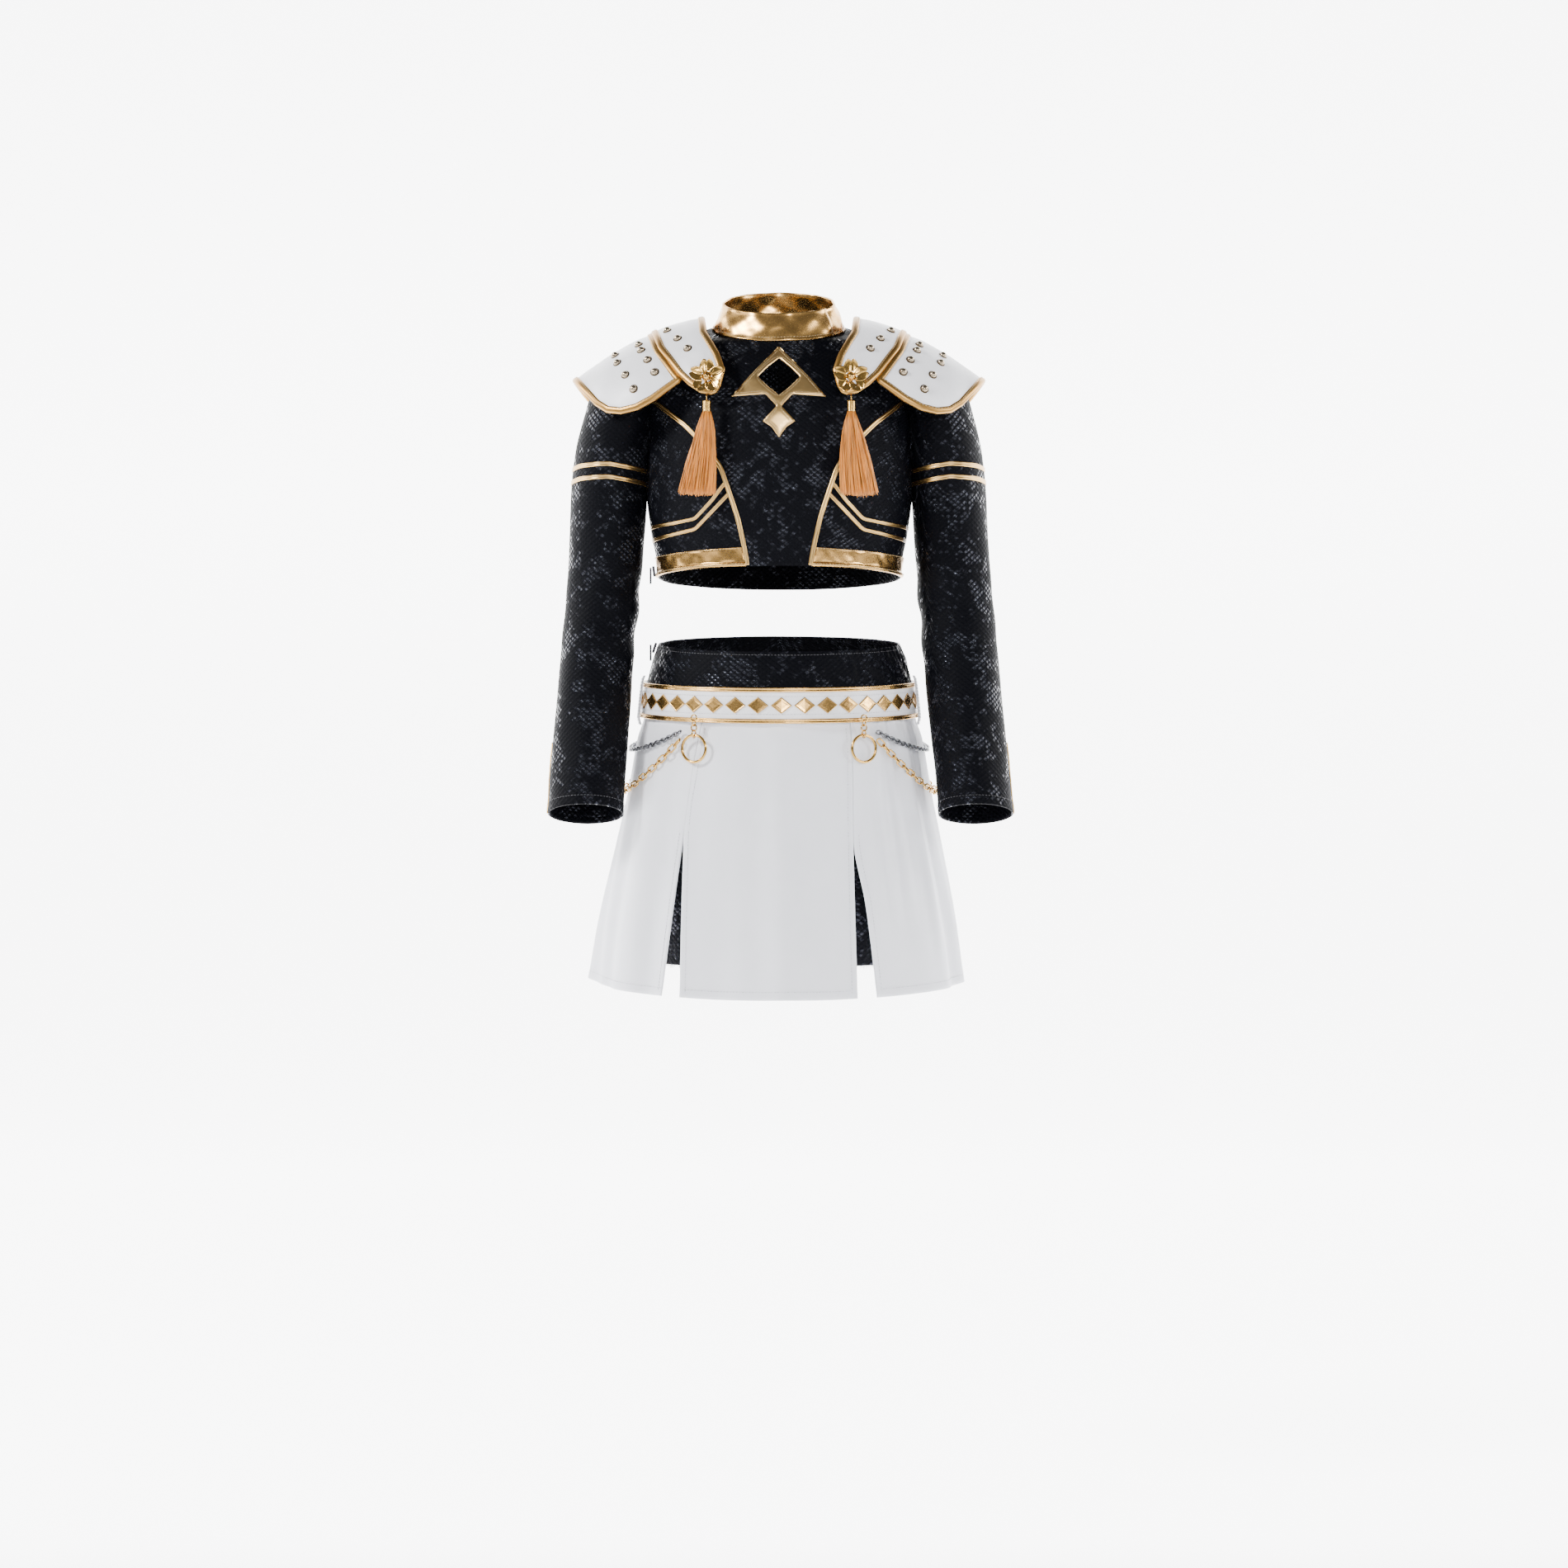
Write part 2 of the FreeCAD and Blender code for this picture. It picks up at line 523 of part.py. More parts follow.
def make_skirt():
    """Waistband, front yoke and flap between two slits, side panels and back."""
    waist_outer = body_loft("waistband_skin", "waistband")
    waist_inner = body_loft("waistband_hollow", "waistband", "(-Sizes.cloth)", reach=6)
    publish("waistband", cut("waistband", waist_outer, waist_inner))
    skin = body_loft("skirt_skin", "skirt")
    hollow = body_loft("skirt_hollow", "skirt", "(-Sizes.cloth)", reach=6)
    shell = cut("skirt_shell", skin, hollow)
    publish("skirt_back", common("skirt_back", shell, block("skirt_rear", (-300, 0, -400),
                                                            (300, 300, 0))))
    front = common("skirt_front_half", shell, block("skirt_fore", (-300, -300, -400),
                                                    (300, 0, 0)))
    top = size("flap_top")
    centre = forward_prism("front_panel_prism", polygon("front_panel", FRONT_PANEL))
    panel = common("front_panel_whole", front, centre)
    high = block("above_slits", (-300, -300, top + size("joint_gap")), (300, 0, 0))
    low = block("below_slits", (-300, -300, -400), (300, 0, top))
    publish("skirt_yoke", common("skirt_yoke", panel, high))
    publish("skirt_flap", common("skirt_flap", panel, low))
    wide = forward_prism("slit_prism", polygon("slits", SLIT_ZONE))
    sides = cut("skirt_sides", front, wide)
    for side in (LEFT, RIGHT):
        near, far = sorted((0, side * 300))
        half = block(f"skirt_half_{SIDE_NAME[side]}", (near, -300, -400), (far, 0, 0))
        name = f"skirt_side_{SIDE_NAME[side]}"
        publish(name, common(name, sides, half))


def leg_loft(name, side, grow="0", reach=0):
    rings = []
    for number, (across, height, width, depth) in enumerate(LEG_RINGS):
        drop = reach if number == len(LEG_RINGS) - 1 else 0
        ring = add("Part::Ellipse", f"{name}_ring_{number}")
        ring.Placement = Placement(Vector(side * across, 0, height - drop), Rotation(AXIS_Z, 90))
        ring.setExpression("MajorRadius", f"{depth} + {grow}")
        ring.setExpression("MinorRadius", f"{width} + {grow}")
        rings.append(ring)
    return loft(name, rings, straight=True)


def make_shorts():
    """Shorts sewn in at the waist: a hip part and two short legs."""
    thin = "(-Sizes.cloth)"
    solid = fuse("shorts_solid", [body_loft("hips_skin", "hips"),
                                  leg_loft("leg_left", LEFT), leg_loft("leg_right", RIGHT)])
    hips = body_loft("hips_inner", "hips", thin)
    waist_hole = block("waist_opening", (-80, -60, -60), (80, 60, 0))
    void = fuse("shorts_void", [hips, waist_hole, leg_loft("leg_hollow_left", LEFT, thin, 5),
                                leg_loft("leg_hollow_right", RIGHT, thin, 5)])
    publish("shorts", cut("shorts", solid, void))


def ellipse_point(half_width, half_depth, angle):
    """Point on a level ellipse; the angle runs from the front towards the wearer's left."""
    return (half_width * math.sin(math.radians(angle)),
            -half_depth * math.cos(math.radians(angle)))


def outward_turn(half_width, half_depth, angle):
    """Turn about Z that faces a piece outward at a point of the ellipse."""
    radians = math.radians(angle)
    normal = (math.sin(radians) / half_width, -math.cos(radians) / half_depth)
    return math.degrees(math.atan2(normal[0], -normal[1]))


def make_belt():
    """Stiff belt with two gold pipings, a row of gold diamonds and two loops at the sides."""
    outer = body_loft("belt_skin", "belt")
    inner = body_loft("belt_hollow", "belt", "(-Sizes.belt_wall)", reach=6)
    publish("belt", cut("belt", outer, inner))
    layer = cut("belt_layer", body_loft("belt_padded", "belt", "Sizes.trim"), outer)
    edges = []
    for number in (0, len(PROFILES["belt"]) - 1):
        height, _, _, tilt, _ = PROFILES["belt"][number]
        inward = -3.4 if number == 0 else 3.4
        slab = add("Part::Box", f"edge_slab_{number}", Length=400, Width=400, Height=3.4)
        turn = Rotation(AXIS_X, tilt)
        base = Vector(0, 0, min(height, height + inward)) + turn.multVec(Vector(-200, -200, 0))
        slab.Placement = Placement(base, turn)
        edges.append(common(f"belt_edge_{number}", layer, slab))
    publish("belt_pipings", group("belt_pipings", edges))
    height, width, depth, tilt, _ = PROFILES["belt"][1]
    slope = math.tan(math.radians(tilt))
    half_wide, half_high = size("diamond_width") / 2, size("diamond_height") / 2
    rhombus = polygon("diamond_outline", [(-half_wide, 0), (0, half_high), (half_wide, 0),
                                          (0, -half_high)])
    diamonds = []
    count = int(size("diamond_count"))
    for number in range(count):
        angle = 360 * number / count + 1
        across, forward = ellipse_point(width + 0.35, depth + 0.35, angle)
        plate = add("Part::Extrusion", f"diamond_{number}", Base=rhombus, DirMode="Custom",
                    Dir=FRONT, LengthFwd=0.8, Solid=True)
        turn = Rotation(AXIS_Z, outward_turn(width, depth, angle)) * Rotation(AXIS_X, -5)
        plate.Placement = Placement(Vector(across, forward, height + forward * slope), turn)
        diamonds.append(plate)
    publish("belt_diamonds", cut("belt_diamonds", group("diamond_row", diamonds), outer))
    loops = []
    for side in (LEFT, RIGHT):
        across, forward = ellipse_point(width + 2.2, depth + 2.2, side * BELT_LOOP_ANGLE)
        strap = add("Part::Box", f"loop_{SIDE_NAME[side]}", Length=8, Width=1.5, Height=42)
        turn = (Rotation(AXIS_Z, outward_turn(width, depth, side * BELT_LOOP_ANGLE))
                * Rotation(AXIS_X, -5))
        strap.Placement = Placement(Vector(across, forward, height - 1)
                                    + turn.multVec(Vector(-4, -1.5, -21)), turn)
        loops.append(strap)
    publish("belt_loops", group("belt_loops", loops))


def link_shape(length, width, wire):
    """One chain link lying in its own XY plane, long along X."""
    end = (length - width) / 2
    radius = (width - wire) / 2
    if end < 0.05:
        return Part.makeTorus(radius, wire / 2)
    runs = []
    for sign in (1, -1):
        runs.append(Part.LineSegment(Vector(-sign * end, -sign * radius, 0),
                                     Vector(sign * end, -sign * radius, 0)))
        runs.append(Part.Arc(Vector(sign * end, -sign * radius, 0),
                             Vector(sign * (end + radius), 0, 0),
                             Vector(sign * end, sign * radius, 0)))
    path = Part.Wire([run.toShape() for run in runs])
    start = Part.Circle(Vector(-end, -radius, 0), AXIS_X, wire / 2).toShape()
    return path.makePipeShell([Part.Wire([start])], True, False)


def points_along(route, pitch):
    """Points a pitch apart along a finely divided route."""
    points, carried = [route[0]], 0.0
    for start, end in zip(route, route[1:]):
        length = (end - start).Length
        while carried + length >= pitch:
            share = (pitch - carried) / length
            start = start + (end - start) * share
            length = (end - start).Length
            carried = 0.0
            points.append(start)
        carried += length
    return points


def make_chain(kind, side, course):
    """Chain round one hip, from beside the front ring to the belt's lower edge at the back."""
    length, width = size(f"{kind}_link"), size(f"{kind}_link_width")
    wire = size(f"{kind}_wire")
    pitch = length - 2 * wire - 0.3
    front, back, drop, stand_off = course
    first, last = CHAIN_SPAN
    route = []
    for step in range(121):
        share = step / 120
        sag = 4 * share * (1 - share)
        height = front + (back - front) * share - drop * sag
        below = max(0, SKIRT_FLARE_TOP - height)
        reach = [radius + below * flare + stand_off
                 for radius, flare in zip(CHAIN_RING, SKIRT_FLARE)]
        across, forward = ellipse_point(*reach, first + (last - first) * share)
        route.append(Vector(side * across, forward, height + forward * 0.087 * sag))
    model = link_shape(length, width, wire)
    stations = points_along(route, pitch)
    links = []
    for number, (start, end) in enumerate(zip(stations, stations[1:])):
        run = end - start
        run.normalize()
        out = Vector(start.x / CHAIN_RING[0] ** 2, start.y / CHAIN_RING[1] ** 2, 0)
        roll = LINK_ROLL[number % 2]
        turn = Rotation(run, out.cross(run), out, "XZY") * Rotation(AXIS_X, roll)
        link = model.copy()
        link.Placement = Placement((start + end) * 0.5, turn)
        links.append(link)
    chain = add("Part::Feature", f"{kind}_chain_{SIDE_NAME[side]}")
    chain.Shape = Part.makeCompound(links)
    publish(chain.Name, chain)


def make_hip_hardware():
    """Drop chains, O-rings, and a cable chain and a curb chain round each hip."""
    radius, wire = size("ring_radius"), size("ring_wire")
    for side in (LEFT, RIGHT):
        hand = SIDE_NAME[side]
        joint = Vector(side * JUNCTION[0], JUNCTION[1], JUNCTION[2])
        facing = Rotation(AXIS_Z, side * RING_TURN)
        links = []
        for number, height in enumerate((12.6, 8.4, 4.2, 0)):
            link = add("Part::Torus", f"drop_link_{hand}_{number}", Radius1=3.2 if not height
                       else 2.6, Radius2=0.6)
            link.Placement = Placement(joint + Vector(0, 0, height + (1.0 if height else 0)),
                                       facing * Rotation(AXIS_Y if number % 2 else AXIS_X, 90))
            links.append(link)
        publish(f"drop_chain_{hand}", group(f"drop_chain_{hand}", links))
        ring = add("Part::Torus", f"o_ring_{hand}")
        ring.setExpression("Radius1", "Sizes.ring_radius")
        ring.setExpression("Radius2", "Sizes.ring_wire")
        ring.Placement = Placement(joint - Vector(0, 0, 1.0 + radius),
                                   facing * Rotation(AXIS_X, 90))
        publish(f"o_ring_{hand}", ring)
        make_chain("gold", side, GOLD_ROUTE)
        make_chain("gunmetal", side, GUNMETAL_ROUTE)


write_sheet()
torso_solid = make_bodice()
make_sleeves(torso_solid)
make_collar()
make_bodice_trims(torso_solid)
make_skirt()
make_shorts()
make_belt()
make_hip_hardware()
doc.recompute()
make_shoulder_plates(torso_solid)
make_tassels()
make_zip("top_zip", *TOP_ZIP)
make_zip("skirt_zip", *SKIRT_ZIP)
doc.recompute()

for thing in doc.Objects:
    if "Invalid" in thing.State or "Error" in thing.State:
        raise RuntimeError(f"{thing.Name} failed: {thing.State}")
os.makedirs("parts", exist_ok=True)
for label, thing in sub_parts.items():
    if thing.Shape.isNull() or not thing.Shape.isValid() or not thing.Shape.Solids:
        raise RuntimeError(f"{label} has no valid solid")
    solids = thing.Shape.Solids
    flat = solids[0] if len(solids) == 1 else Part.makeCompound(solids)
    flat.exportStep(f"parts/{label}.step")
    print(label, len(solids), round(flat.Volume))
print(len(sub_parts), "sub-parts")
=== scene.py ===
"""Looks of a child's cheer uniform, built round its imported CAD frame.

The cloth pieces are grids on smooth surfaces through the frame's rings, with folds added in
code. Sizes in the tables are in mm and become metres through MM. +Z is up, -Y the wearer's
front and +X the wearer's left.
"""
import json
import math

import bpy
import numpy as np
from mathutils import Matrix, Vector
from mathutils.bvhtree import BVHTree
from mathutils.geometry import delaunay_2d_cdt


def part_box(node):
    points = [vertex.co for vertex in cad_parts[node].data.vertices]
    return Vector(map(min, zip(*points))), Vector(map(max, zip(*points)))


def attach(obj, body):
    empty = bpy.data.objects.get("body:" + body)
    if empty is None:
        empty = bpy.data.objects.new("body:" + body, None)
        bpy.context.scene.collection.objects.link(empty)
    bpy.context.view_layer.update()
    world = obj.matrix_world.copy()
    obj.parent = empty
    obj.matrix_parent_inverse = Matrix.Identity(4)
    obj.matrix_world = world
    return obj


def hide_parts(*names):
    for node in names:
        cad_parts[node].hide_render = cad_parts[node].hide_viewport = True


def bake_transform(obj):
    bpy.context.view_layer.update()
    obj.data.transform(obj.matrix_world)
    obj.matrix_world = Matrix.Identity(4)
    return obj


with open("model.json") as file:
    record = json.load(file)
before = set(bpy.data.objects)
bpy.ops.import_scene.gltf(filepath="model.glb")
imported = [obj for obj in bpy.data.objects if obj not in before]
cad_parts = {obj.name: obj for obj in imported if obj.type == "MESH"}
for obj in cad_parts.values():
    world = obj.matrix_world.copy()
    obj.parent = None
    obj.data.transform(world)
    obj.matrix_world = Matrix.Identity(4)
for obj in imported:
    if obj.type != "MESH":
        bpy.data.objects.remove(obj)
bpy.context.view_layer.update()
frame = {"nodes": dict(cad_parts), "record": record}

MM = 0.001
LEFT, RIGHT = 1, -1
HAND = {LEFT: "left", RIGHT: "right"}
BODY_OF = {node: body for body, nodes in frame["record"]["behaviour"]["bodies"].items()
           for node in nodes}

# Rings of the body, as the frame has them: height, half width, half depth, tilt.
RINGS = {
    "torso": [(57, 105.5, 78, -4.4), (75, 107.5, 79, -3), (95, 111.5, 81, 0), (140, 116.5, 83, 0),
              (190, 117.5, 81, 1), (225, 117, 71, 3), (247, 112, 58, 6), (260, 96, 51, 11),
              (269, 75, 49, 15), (273, 57, 49, 18)],
    "collar": [(273, 57.5, 49.5, 18), (284, 53.5, 47.5, 18), (297, 48, 43.5, 20)],
    "waistband": [(-34, 115, 90, 5), (-15, 110.5, 86, 6), (0, 105, 82, 7)],
    "belt": [(-63, 121.3, 97, 5), (-48, 119.7, 95, 5), (-33, 118, 93, 5)],
    "skirt": [(-291, 162, 123, 6), (-245, 156, 118, 5.5), (-170, 141, 109, 5),
              (-130, 132.5, 104, 5), (-82, 124, 98, 5), (-63, 118, 94, 5), (-34, 115, 90, 5)],
}
# Rings of a sleeve from the shoulder down: middle (outward, forward, height), lean, half width
# and half depth. The cuff's ring is the last one, and each hand's cuff reaches its own distance.
SLEEVE = [(106, 0, 259, 0, 3, 18), (116, 0, 254, 0, 14, 28), (125, 0, 240, 0, 26, 36),
          (131, 0, 225, 0, 30, 40), (137, 0, 200, 0, 32, 42), (144, 0, 165, 0, 33.5, 41),
          (148, 0, 130, 0, 33, 37), (149.5, 0, 98, 0, 32.8, 34), (152, -1, 57, -2, 32.4, 32.8),
          (159.5, -18, -30, -10, 32, 32.3)]
CUFF_REACH = {LEFT: 168.5, RIGHT: 165.5}
CUFF_RING = (-52, -148, -16, 32, 32.3)
PLATE_RINGS = [(34, 289, 84), (60, 283, 84), (90, 275.5, 76), (118, 265.5, 71), (145, 251, 60),
               (166, 237, 45), (182, 227, 36)]
PLATE_CENTRE = 190

# Edges seen from the front, as (height, distance from the middle) from the bottom up.
PRINCESS = [(40, 25), (66, 27), (82, 30), (104, 35), (125, 42), (147, 49.5), (166, 63),
            (184, 80), (200, 99), (221, 126)]
PLATE_EDGES = {
    "inner": ([(208.3, 58), (210, 53.5), (215, 50.5), (229, 46.8), (243, 51.5), (264, 63),
               (300, 68)],
              [(208.3, 58), (210, 66), (217, 76), (226, 85), (249.5, 102), (300, 122)]),
    "outer": ([(194.2, 135), (197, 121), (204.3, 107), (221.5, 83.5), (249.3, 102.4), (300, 122.4)],
              [(194.2, 135), (196, 147), (203, 157), (219, 171), (229, 179), (300, 183)]),
}
SKIRT_FRONT = {LEFT: [(-330, 66.2), (-168, 63.2), (-96, 62.5), (-66, 60), (0, 58)],
               RIGHT: [(-330, -83.5), (-167, -81), (-90, -70), (-66, -65.5), (0, -63)]}
SKIRT_SIDE = {LEFT: [(-330, 88), (-225, 74), (-168, 63.2), (-96, 62.5), (-66, 60), (0, 58)],
              RIGHT: [(-330, -101), (-220, -88), (-167, -81), (-90, -70), (-66, -65.5), (0, -63)]}
HEM_BAND_TOP = [(0, 78.3), (29, 78), (125, 74)]

# Trim paths seen from the front, as (distance from the middle, height).
UPPER_CHEVRON = [(118, 99), (92, 101), (71.5, 104), (57, 119), (45.8, 133.4)]
LOWER_CHEVRON = [(118, 87.5), (92, 91.5), (71.5, 95), (57.5, 109), (42.8, 124.1)]
SLEEVE_BAND = [(100, 145), (118, 149), (147, 153.5), (172, 152.5), (190, 149)]
KEYHOLE = [(0, 241.7), (9.5, 233.5), (17.8, 224.6), (9.5, 215.8), (0, 207.9), (-9.5, 215.8),
           (-17.8, 224.6), (-9.5, 233.5)]
HALF_MOTIF = [(0, 253), (27.6, 222.5), (40.3, 207.3), (11.5, 208.8), (2.2, 198.5), (14, 185.6),
              (6.5, 180.5), (0, 171.5)]
STUDS = [(141.5, 247.5), (139, 239.5), (131.5, 227.5), (124, 214.5), (121, 256), (118.5, 250),
         (112.5, 240.5), (106, 229), (96.5, 268.5), (87, 259.5), (78, 249.5)]
TASSEL_HOOK = (61.2, -85, 207.7)
TASSEL_LEAN = math.radians(1)
TASSEL_SWAY = {LEFT: 7, RIGHT: -8}

DOUBLE_RIDGE = [(-1, -0.3), (-1, 0.3), (-0.85, 0.8), (-0.55, 1), (-0.22, 0.8), (0, 0.35),
                (0.22, 0.8), (0.55, 1), (0.85, 0.8), (1, 0.3), (1, -0.3)]
ROUND_PIPING = [(-1, -0.3), (-0.95, 0.35), (-0.6, 0.85), (0, 1), (0.6, 0.85), (0.95, 0.35),
                (1, -0.3)]
FLAT_STRAP = [(-1, -0.3), (-1, 0.6), (-0.85, 1), (0.85, 1), (1, 0.6), (1, -0.3)]

# Cloth and thread, in mm.
CLOTH_WALL = 1.3
THREAD_RADIUS = 0.22
THREAD_LIFT = 0.1


# ---------------------------------------------------------------- materials

class Nodes:
    """Small builder of one node material with a Principled shader."""

    def __init__(self, name, colour, roughness, metallic=0.0, **shader):
        self.material = bpy.data.materials.new(name)
        self.material.use_nodes = True
        self.tree = self.material.node_tree
        self.shader = self.tree.nodes["Principled BSDF"]
        self.set(self.shader, {"Base Color": (*colour, 1), "Roughness": roughness,
                               "Metallic": metallic, **shader})

    def set(self, node, values):
        for key, value in values.items():
            socket = node.inputs[key]
            if isinstance(value, bpy.types.NodeSocket):
                self.tree.links.new(value, socket)
            else:
                socket.default_value = value

    def node(self, kind, inputs=None, **settings):
        made = self.tree.nodes.new(f"ShaderNode{kind}")
        for key, value in settings.items():
            setattr(made, key, value)
        self.set(made, inputs or {})
        return made

    def place(self, scale, turn=0.0):
        """UV coordinates, which are in metres, times the scale and turned if asked."""
        start = self.node("UVMap", uv_map="metres").outputs[0]
        return self.node("Mapping", {"Vector": start, "Scale": scale,
                                     "Rotation": (0, 0, turn)}).outputs[0]

    def space(self):
        """Coordinates of the object itself, in metres."""
        return self.node("TexCoord").outputs["Object"]

    def maths(self, operation, first, second=0.0, third=0.0):
        return self.node("Math", {0: first, 1: second, 2: third}, operation=operation).outputs[0]

    def noise(self, where, scale, detail=3.0, rough=0.55, distortion=0.0):
        return self.node("TexNoise", {"Vector": where, "Scale": scale, "Detail": detail,
                                      "Roughness": rough, "Distortion": distortion}).outputs[0]

    def remap(self, value, low, high, to_low=0.0, to_high=1.0):
        return self.node("MapRange", {"Value": value, "From Min": low, "From Max": high,
                                      "To Min": to_low, "To Max": to_high},
                         interpolation_type="SMOOTHSTEP").outputs[0]

    def blend(self, share, first, second):
        made = self.node("Mix", data_type="RGBA")
        self.set(made, {0: share})
        for socket, value in ((made.inputs[6], first), (made.inputs[7], second)):
            if isinstance(value, bpy.types.NodeSocket):
                self.tree.links.new(value, socket)
            else:
                socket.default_value = (*value, 1)
        return made.outputs[2]

    def bump(self, height, distance, strength=1.0):
        made = self.node("Bump", {"Height": height, "Distance": distance, "Strength": strength})
        self.set(self.shader, {"Normal": made.outputs[0]})

    def shade(self, **inputs):
        self.set(self.shader, {key.replace("_", " "): value for key, value in inputs.items()})


def dimmed(colour, share):
    return tuple(part * share for part in colour)


def scale_fabric():
    """Near-black cloth embossed with small scales, glossy in irregular patches."""
    m = Nodes("scale_fabric", (0.006, 0.007, 0.012), 0.4, **{"Specular IOR Level": 0.05})
    cells = m.place((240, 300, 1), math.radians(45))
    cell = m.node("TexVoronoi", {"Vector": cells, "Scale": 1.0, "Randomness": 0.12},
                  feature="F1", distance="MINKOWSKI")
    m.set(cell, {"Exponent": 3.0})
    dome = m.remap(cell.outputs["Distance"], 0.62, 0.1)
    lot = m.node("SeparateColor", {"Color": cell.outputs["Color"]}).outputs[0]
    metres = m.place((1, 1, 1))
    patch = m.noise(metres, 42, 4.0, 0.62, 0.6)
    fine = m.noise(metres, 170, 2.0)
    mixed = m.maths("ADD", patch, m.maths("MULTIPLY_ADD", lot, 0.16, -0.08))
    mixed = m.maths("ADD", mixed, m.maths("MULTIPLY_ADD", fine, 0.16, -0.08))
    gloss = m.remap(mixed, 0.5, 0.62)
    polish = m.maths("MULTIPLY", gloss, dome)
    m.shade(Base_Color=m.blend(polish, (0.0012, 0.0014, 0.0026), (0.03, 0.032, 0.041)),
            Metallic=m.maths("MULTIPLY", polish, 0.9),
            Roughness=m.remap(polish, 0.0, 0.8, 0.6, 0.2))
    height = m.maths("MULTIPLY", dome, m.maths("MULTIPLY_ADD", gloss, 0.8, 0.2))
    tilted = m.maths("MULTIPLY_ADD", m.maths("MULTIPLY", lot, gloss), 0.35, height)
    m.bump(tilted, 0.0014, 1.0)
    return m.material


def foil(name, colour, crinkle, rough):
    """Thin metallised film: crinkled, with finer creases inside the larger ones."""
    m = Nodes(name, colour, rough, 1.0)
    broad = m.noise(m.place((15, 34, 28)), 1.0, 2.0, 0.4, 0.7)
    fine = m.noise(m.place((1, 1, 1)), 520, 3.0, 0.6)
    height = m.maths("MULTIPLY_ADD", fine, 0.004, broad)
    m.shade(Roughness=m.remap(fine, 0.3, 0.7, rough * 0.92, rough * 1.1),
            Base_Color=m.blend(m.remap(broad, 0.35, 0.65), dimmed(colour, 0.82), colour))
    m.bump(height, crinkle, 0.6)
    return m.material


def woven(name, colour, roughness, pitch, depth):
    """Plain woven cloth with threads at the given pitch in metres."""
    m = Nodes(name, colour, roughness, **{"Sheen Weight": 0.15, "Sheen Roughness": 0.5})
    waves = [m.node("TexWave", {"Vector": m.place((1 / pitch,) * 3), "Scale": 0.32,
                                "Distortion": 0.4}, bands_direction=axis).outputs["Fac"]
             for axis in ("X", "Y")]
    weave = m.maths("MULTIPLY", *waves)
    cloud = m.noise(m.place((1, 1, 1)), 30, 4.0)
    tone = m.maths("MULTIPLY_ADD", weave, 0.5, m.remap(cloud, 0.3, 0.8, 0, 0.5))
    m.shade(Base_Color=m.blend(tone, dimmed(colour, 0.93), colour))
    m.bump(weave, depth, 0.6)
    return m.material


def leather(name, colour):
    """Smooth coated leather with a fine pebbled grain and faint scuffs."""
    m = Nodes(name, colour, 0.42, **{"Coat Weight": 0.15, "Coat Roughness": 0.3})
    where = m.place((1, 1, 1))
    grain = m.node("TexVoronoi", {"Vector": where, "Scale": 1100.0},
                   feature="SMOOTH_F1").outputs["Distance"]
    scuff = m.noise(where, 60, 5.0, 0.65)
    m.shade(Base_Color=m.blend(m.remap(scuff, 0.35, 0.75), dimmed(colour, 0.95), colour),
            Roughness=m.remap(scuff, 0.3, 0.7, 0.34, 0.52))
    m.bump(m.maths("MULTIPLY_ADD", scuff, 0.5, grain), 0.00012, 0.6)
    return m.material


def metal(name, colour, rough):
    """Plated metal with fine handling marks."""
    m = Nodes(name, colour, rough, 1.0)
    where = m.space()
    marks = m.noise(where, 900, 4.0, 0.7)
    tone = m.noise(where, 120, 2.0)
    m.shade(Roughness=m.remap(marks, 0.3, 0.75, rough * 0.7, rough * 1.6),
            Base_Color=m.blend(m.remap(tone, 0.3, 0.7), dimmed(colour, 0.85), colour))
    m.bump(marks, 0.00004, 0.5)
    return m.material


def thread(name, colour, rough, sheen=0.4, stretch=1.0):
    """Twisted thread with lighter and darker spots, drawn out downwards where stretch is small."""
    m = Nodes(name, colour, rough, **{"Sheen Weight": sheen})
    where = m.node("Mapping", {"Vector": m.space(), "Scale": (1.0, 1.0, stretch)}).outputs[0]
    tone = m.noise(where, 700, 3.0, 0.6)
    m.shade(Base_Color=m.blend(m.remap(tone, 0.3, 0.7), dimmed(colour, 0.42), colour))
    m.bump(tone, 0.0002, 0.7)
    return m.material


FABRIC = scale_fabric()
FOIL = foil("gold_foil", (0.66, 0.38, 0.12), 0.0024, 0.27)
BELT_FOIL = foil("gold_foil_flat", (0.64, 0.38, 0.12), 0.0009, 0.26)
TRIM = foil("gold_trim", (0.62, 0.39, 0.14), 0.0006, 0.3)
APPLIQUE = foil("gold_applique", (0.66, 0.43, 0.17), 0.0009, 0.33)
BINDING = foil("gold_binding", (0.40, 0.22, 0.06), 0.0012, 0.36)
WHITE = woven("white_cloth", (0.80, 0.81, 0.86), 0.78, 0.0007, 0.00012)
LEATHER = leather("white_leather", (0.84, 0.84, 0.87))
LINING = woven("dark_lining", (0.035, 0.03, 0.028), 0.8, 0.0008, 0.0001)
GOLD = metal("gold_metal", (0.62, 0.37, 0.10), 0.17)
SILVER = metal("stud_metal", (0.42, 0.34, 0.24), 0.2)
# Dark metal for the studs' rims: painted dark reflection, standing in for dark surroundings the
# rims would mirror.
STUD_RIM_PAINTED_REFLECTION = metal("stud_rim_painted_reflection", (0.10, 0.075, 0.05), 0.3)
GUNMETAL = metal("gunmetal", (0.20, 0.205, 0.22), 0.24)
ZIP_METAL = metal("zip_metal", (0.05, 0.05, 0.055), 0.35)
GOLD_THREAD = thread("tassel_thread", (0.78, 0.27, 0.025), 0.45, sheen=0.02, stretch=0.03)
GOLD_STITCH = thread("gold_stitch", (0.62, 0.45, 0.2), 0.5)
WHITE_STITCH = thread("white_stitch", (0.72, 0.73, 0.78), 0.7)
DARK_STITCH = thread("dark_stitch", (0.02, 0.02, 0.03), 0.6)
CRYSTAL = metal("clear_bead", (0.9, 0.9, 0.95), 0.06)


# ---------------------------------------------------------------- shapes

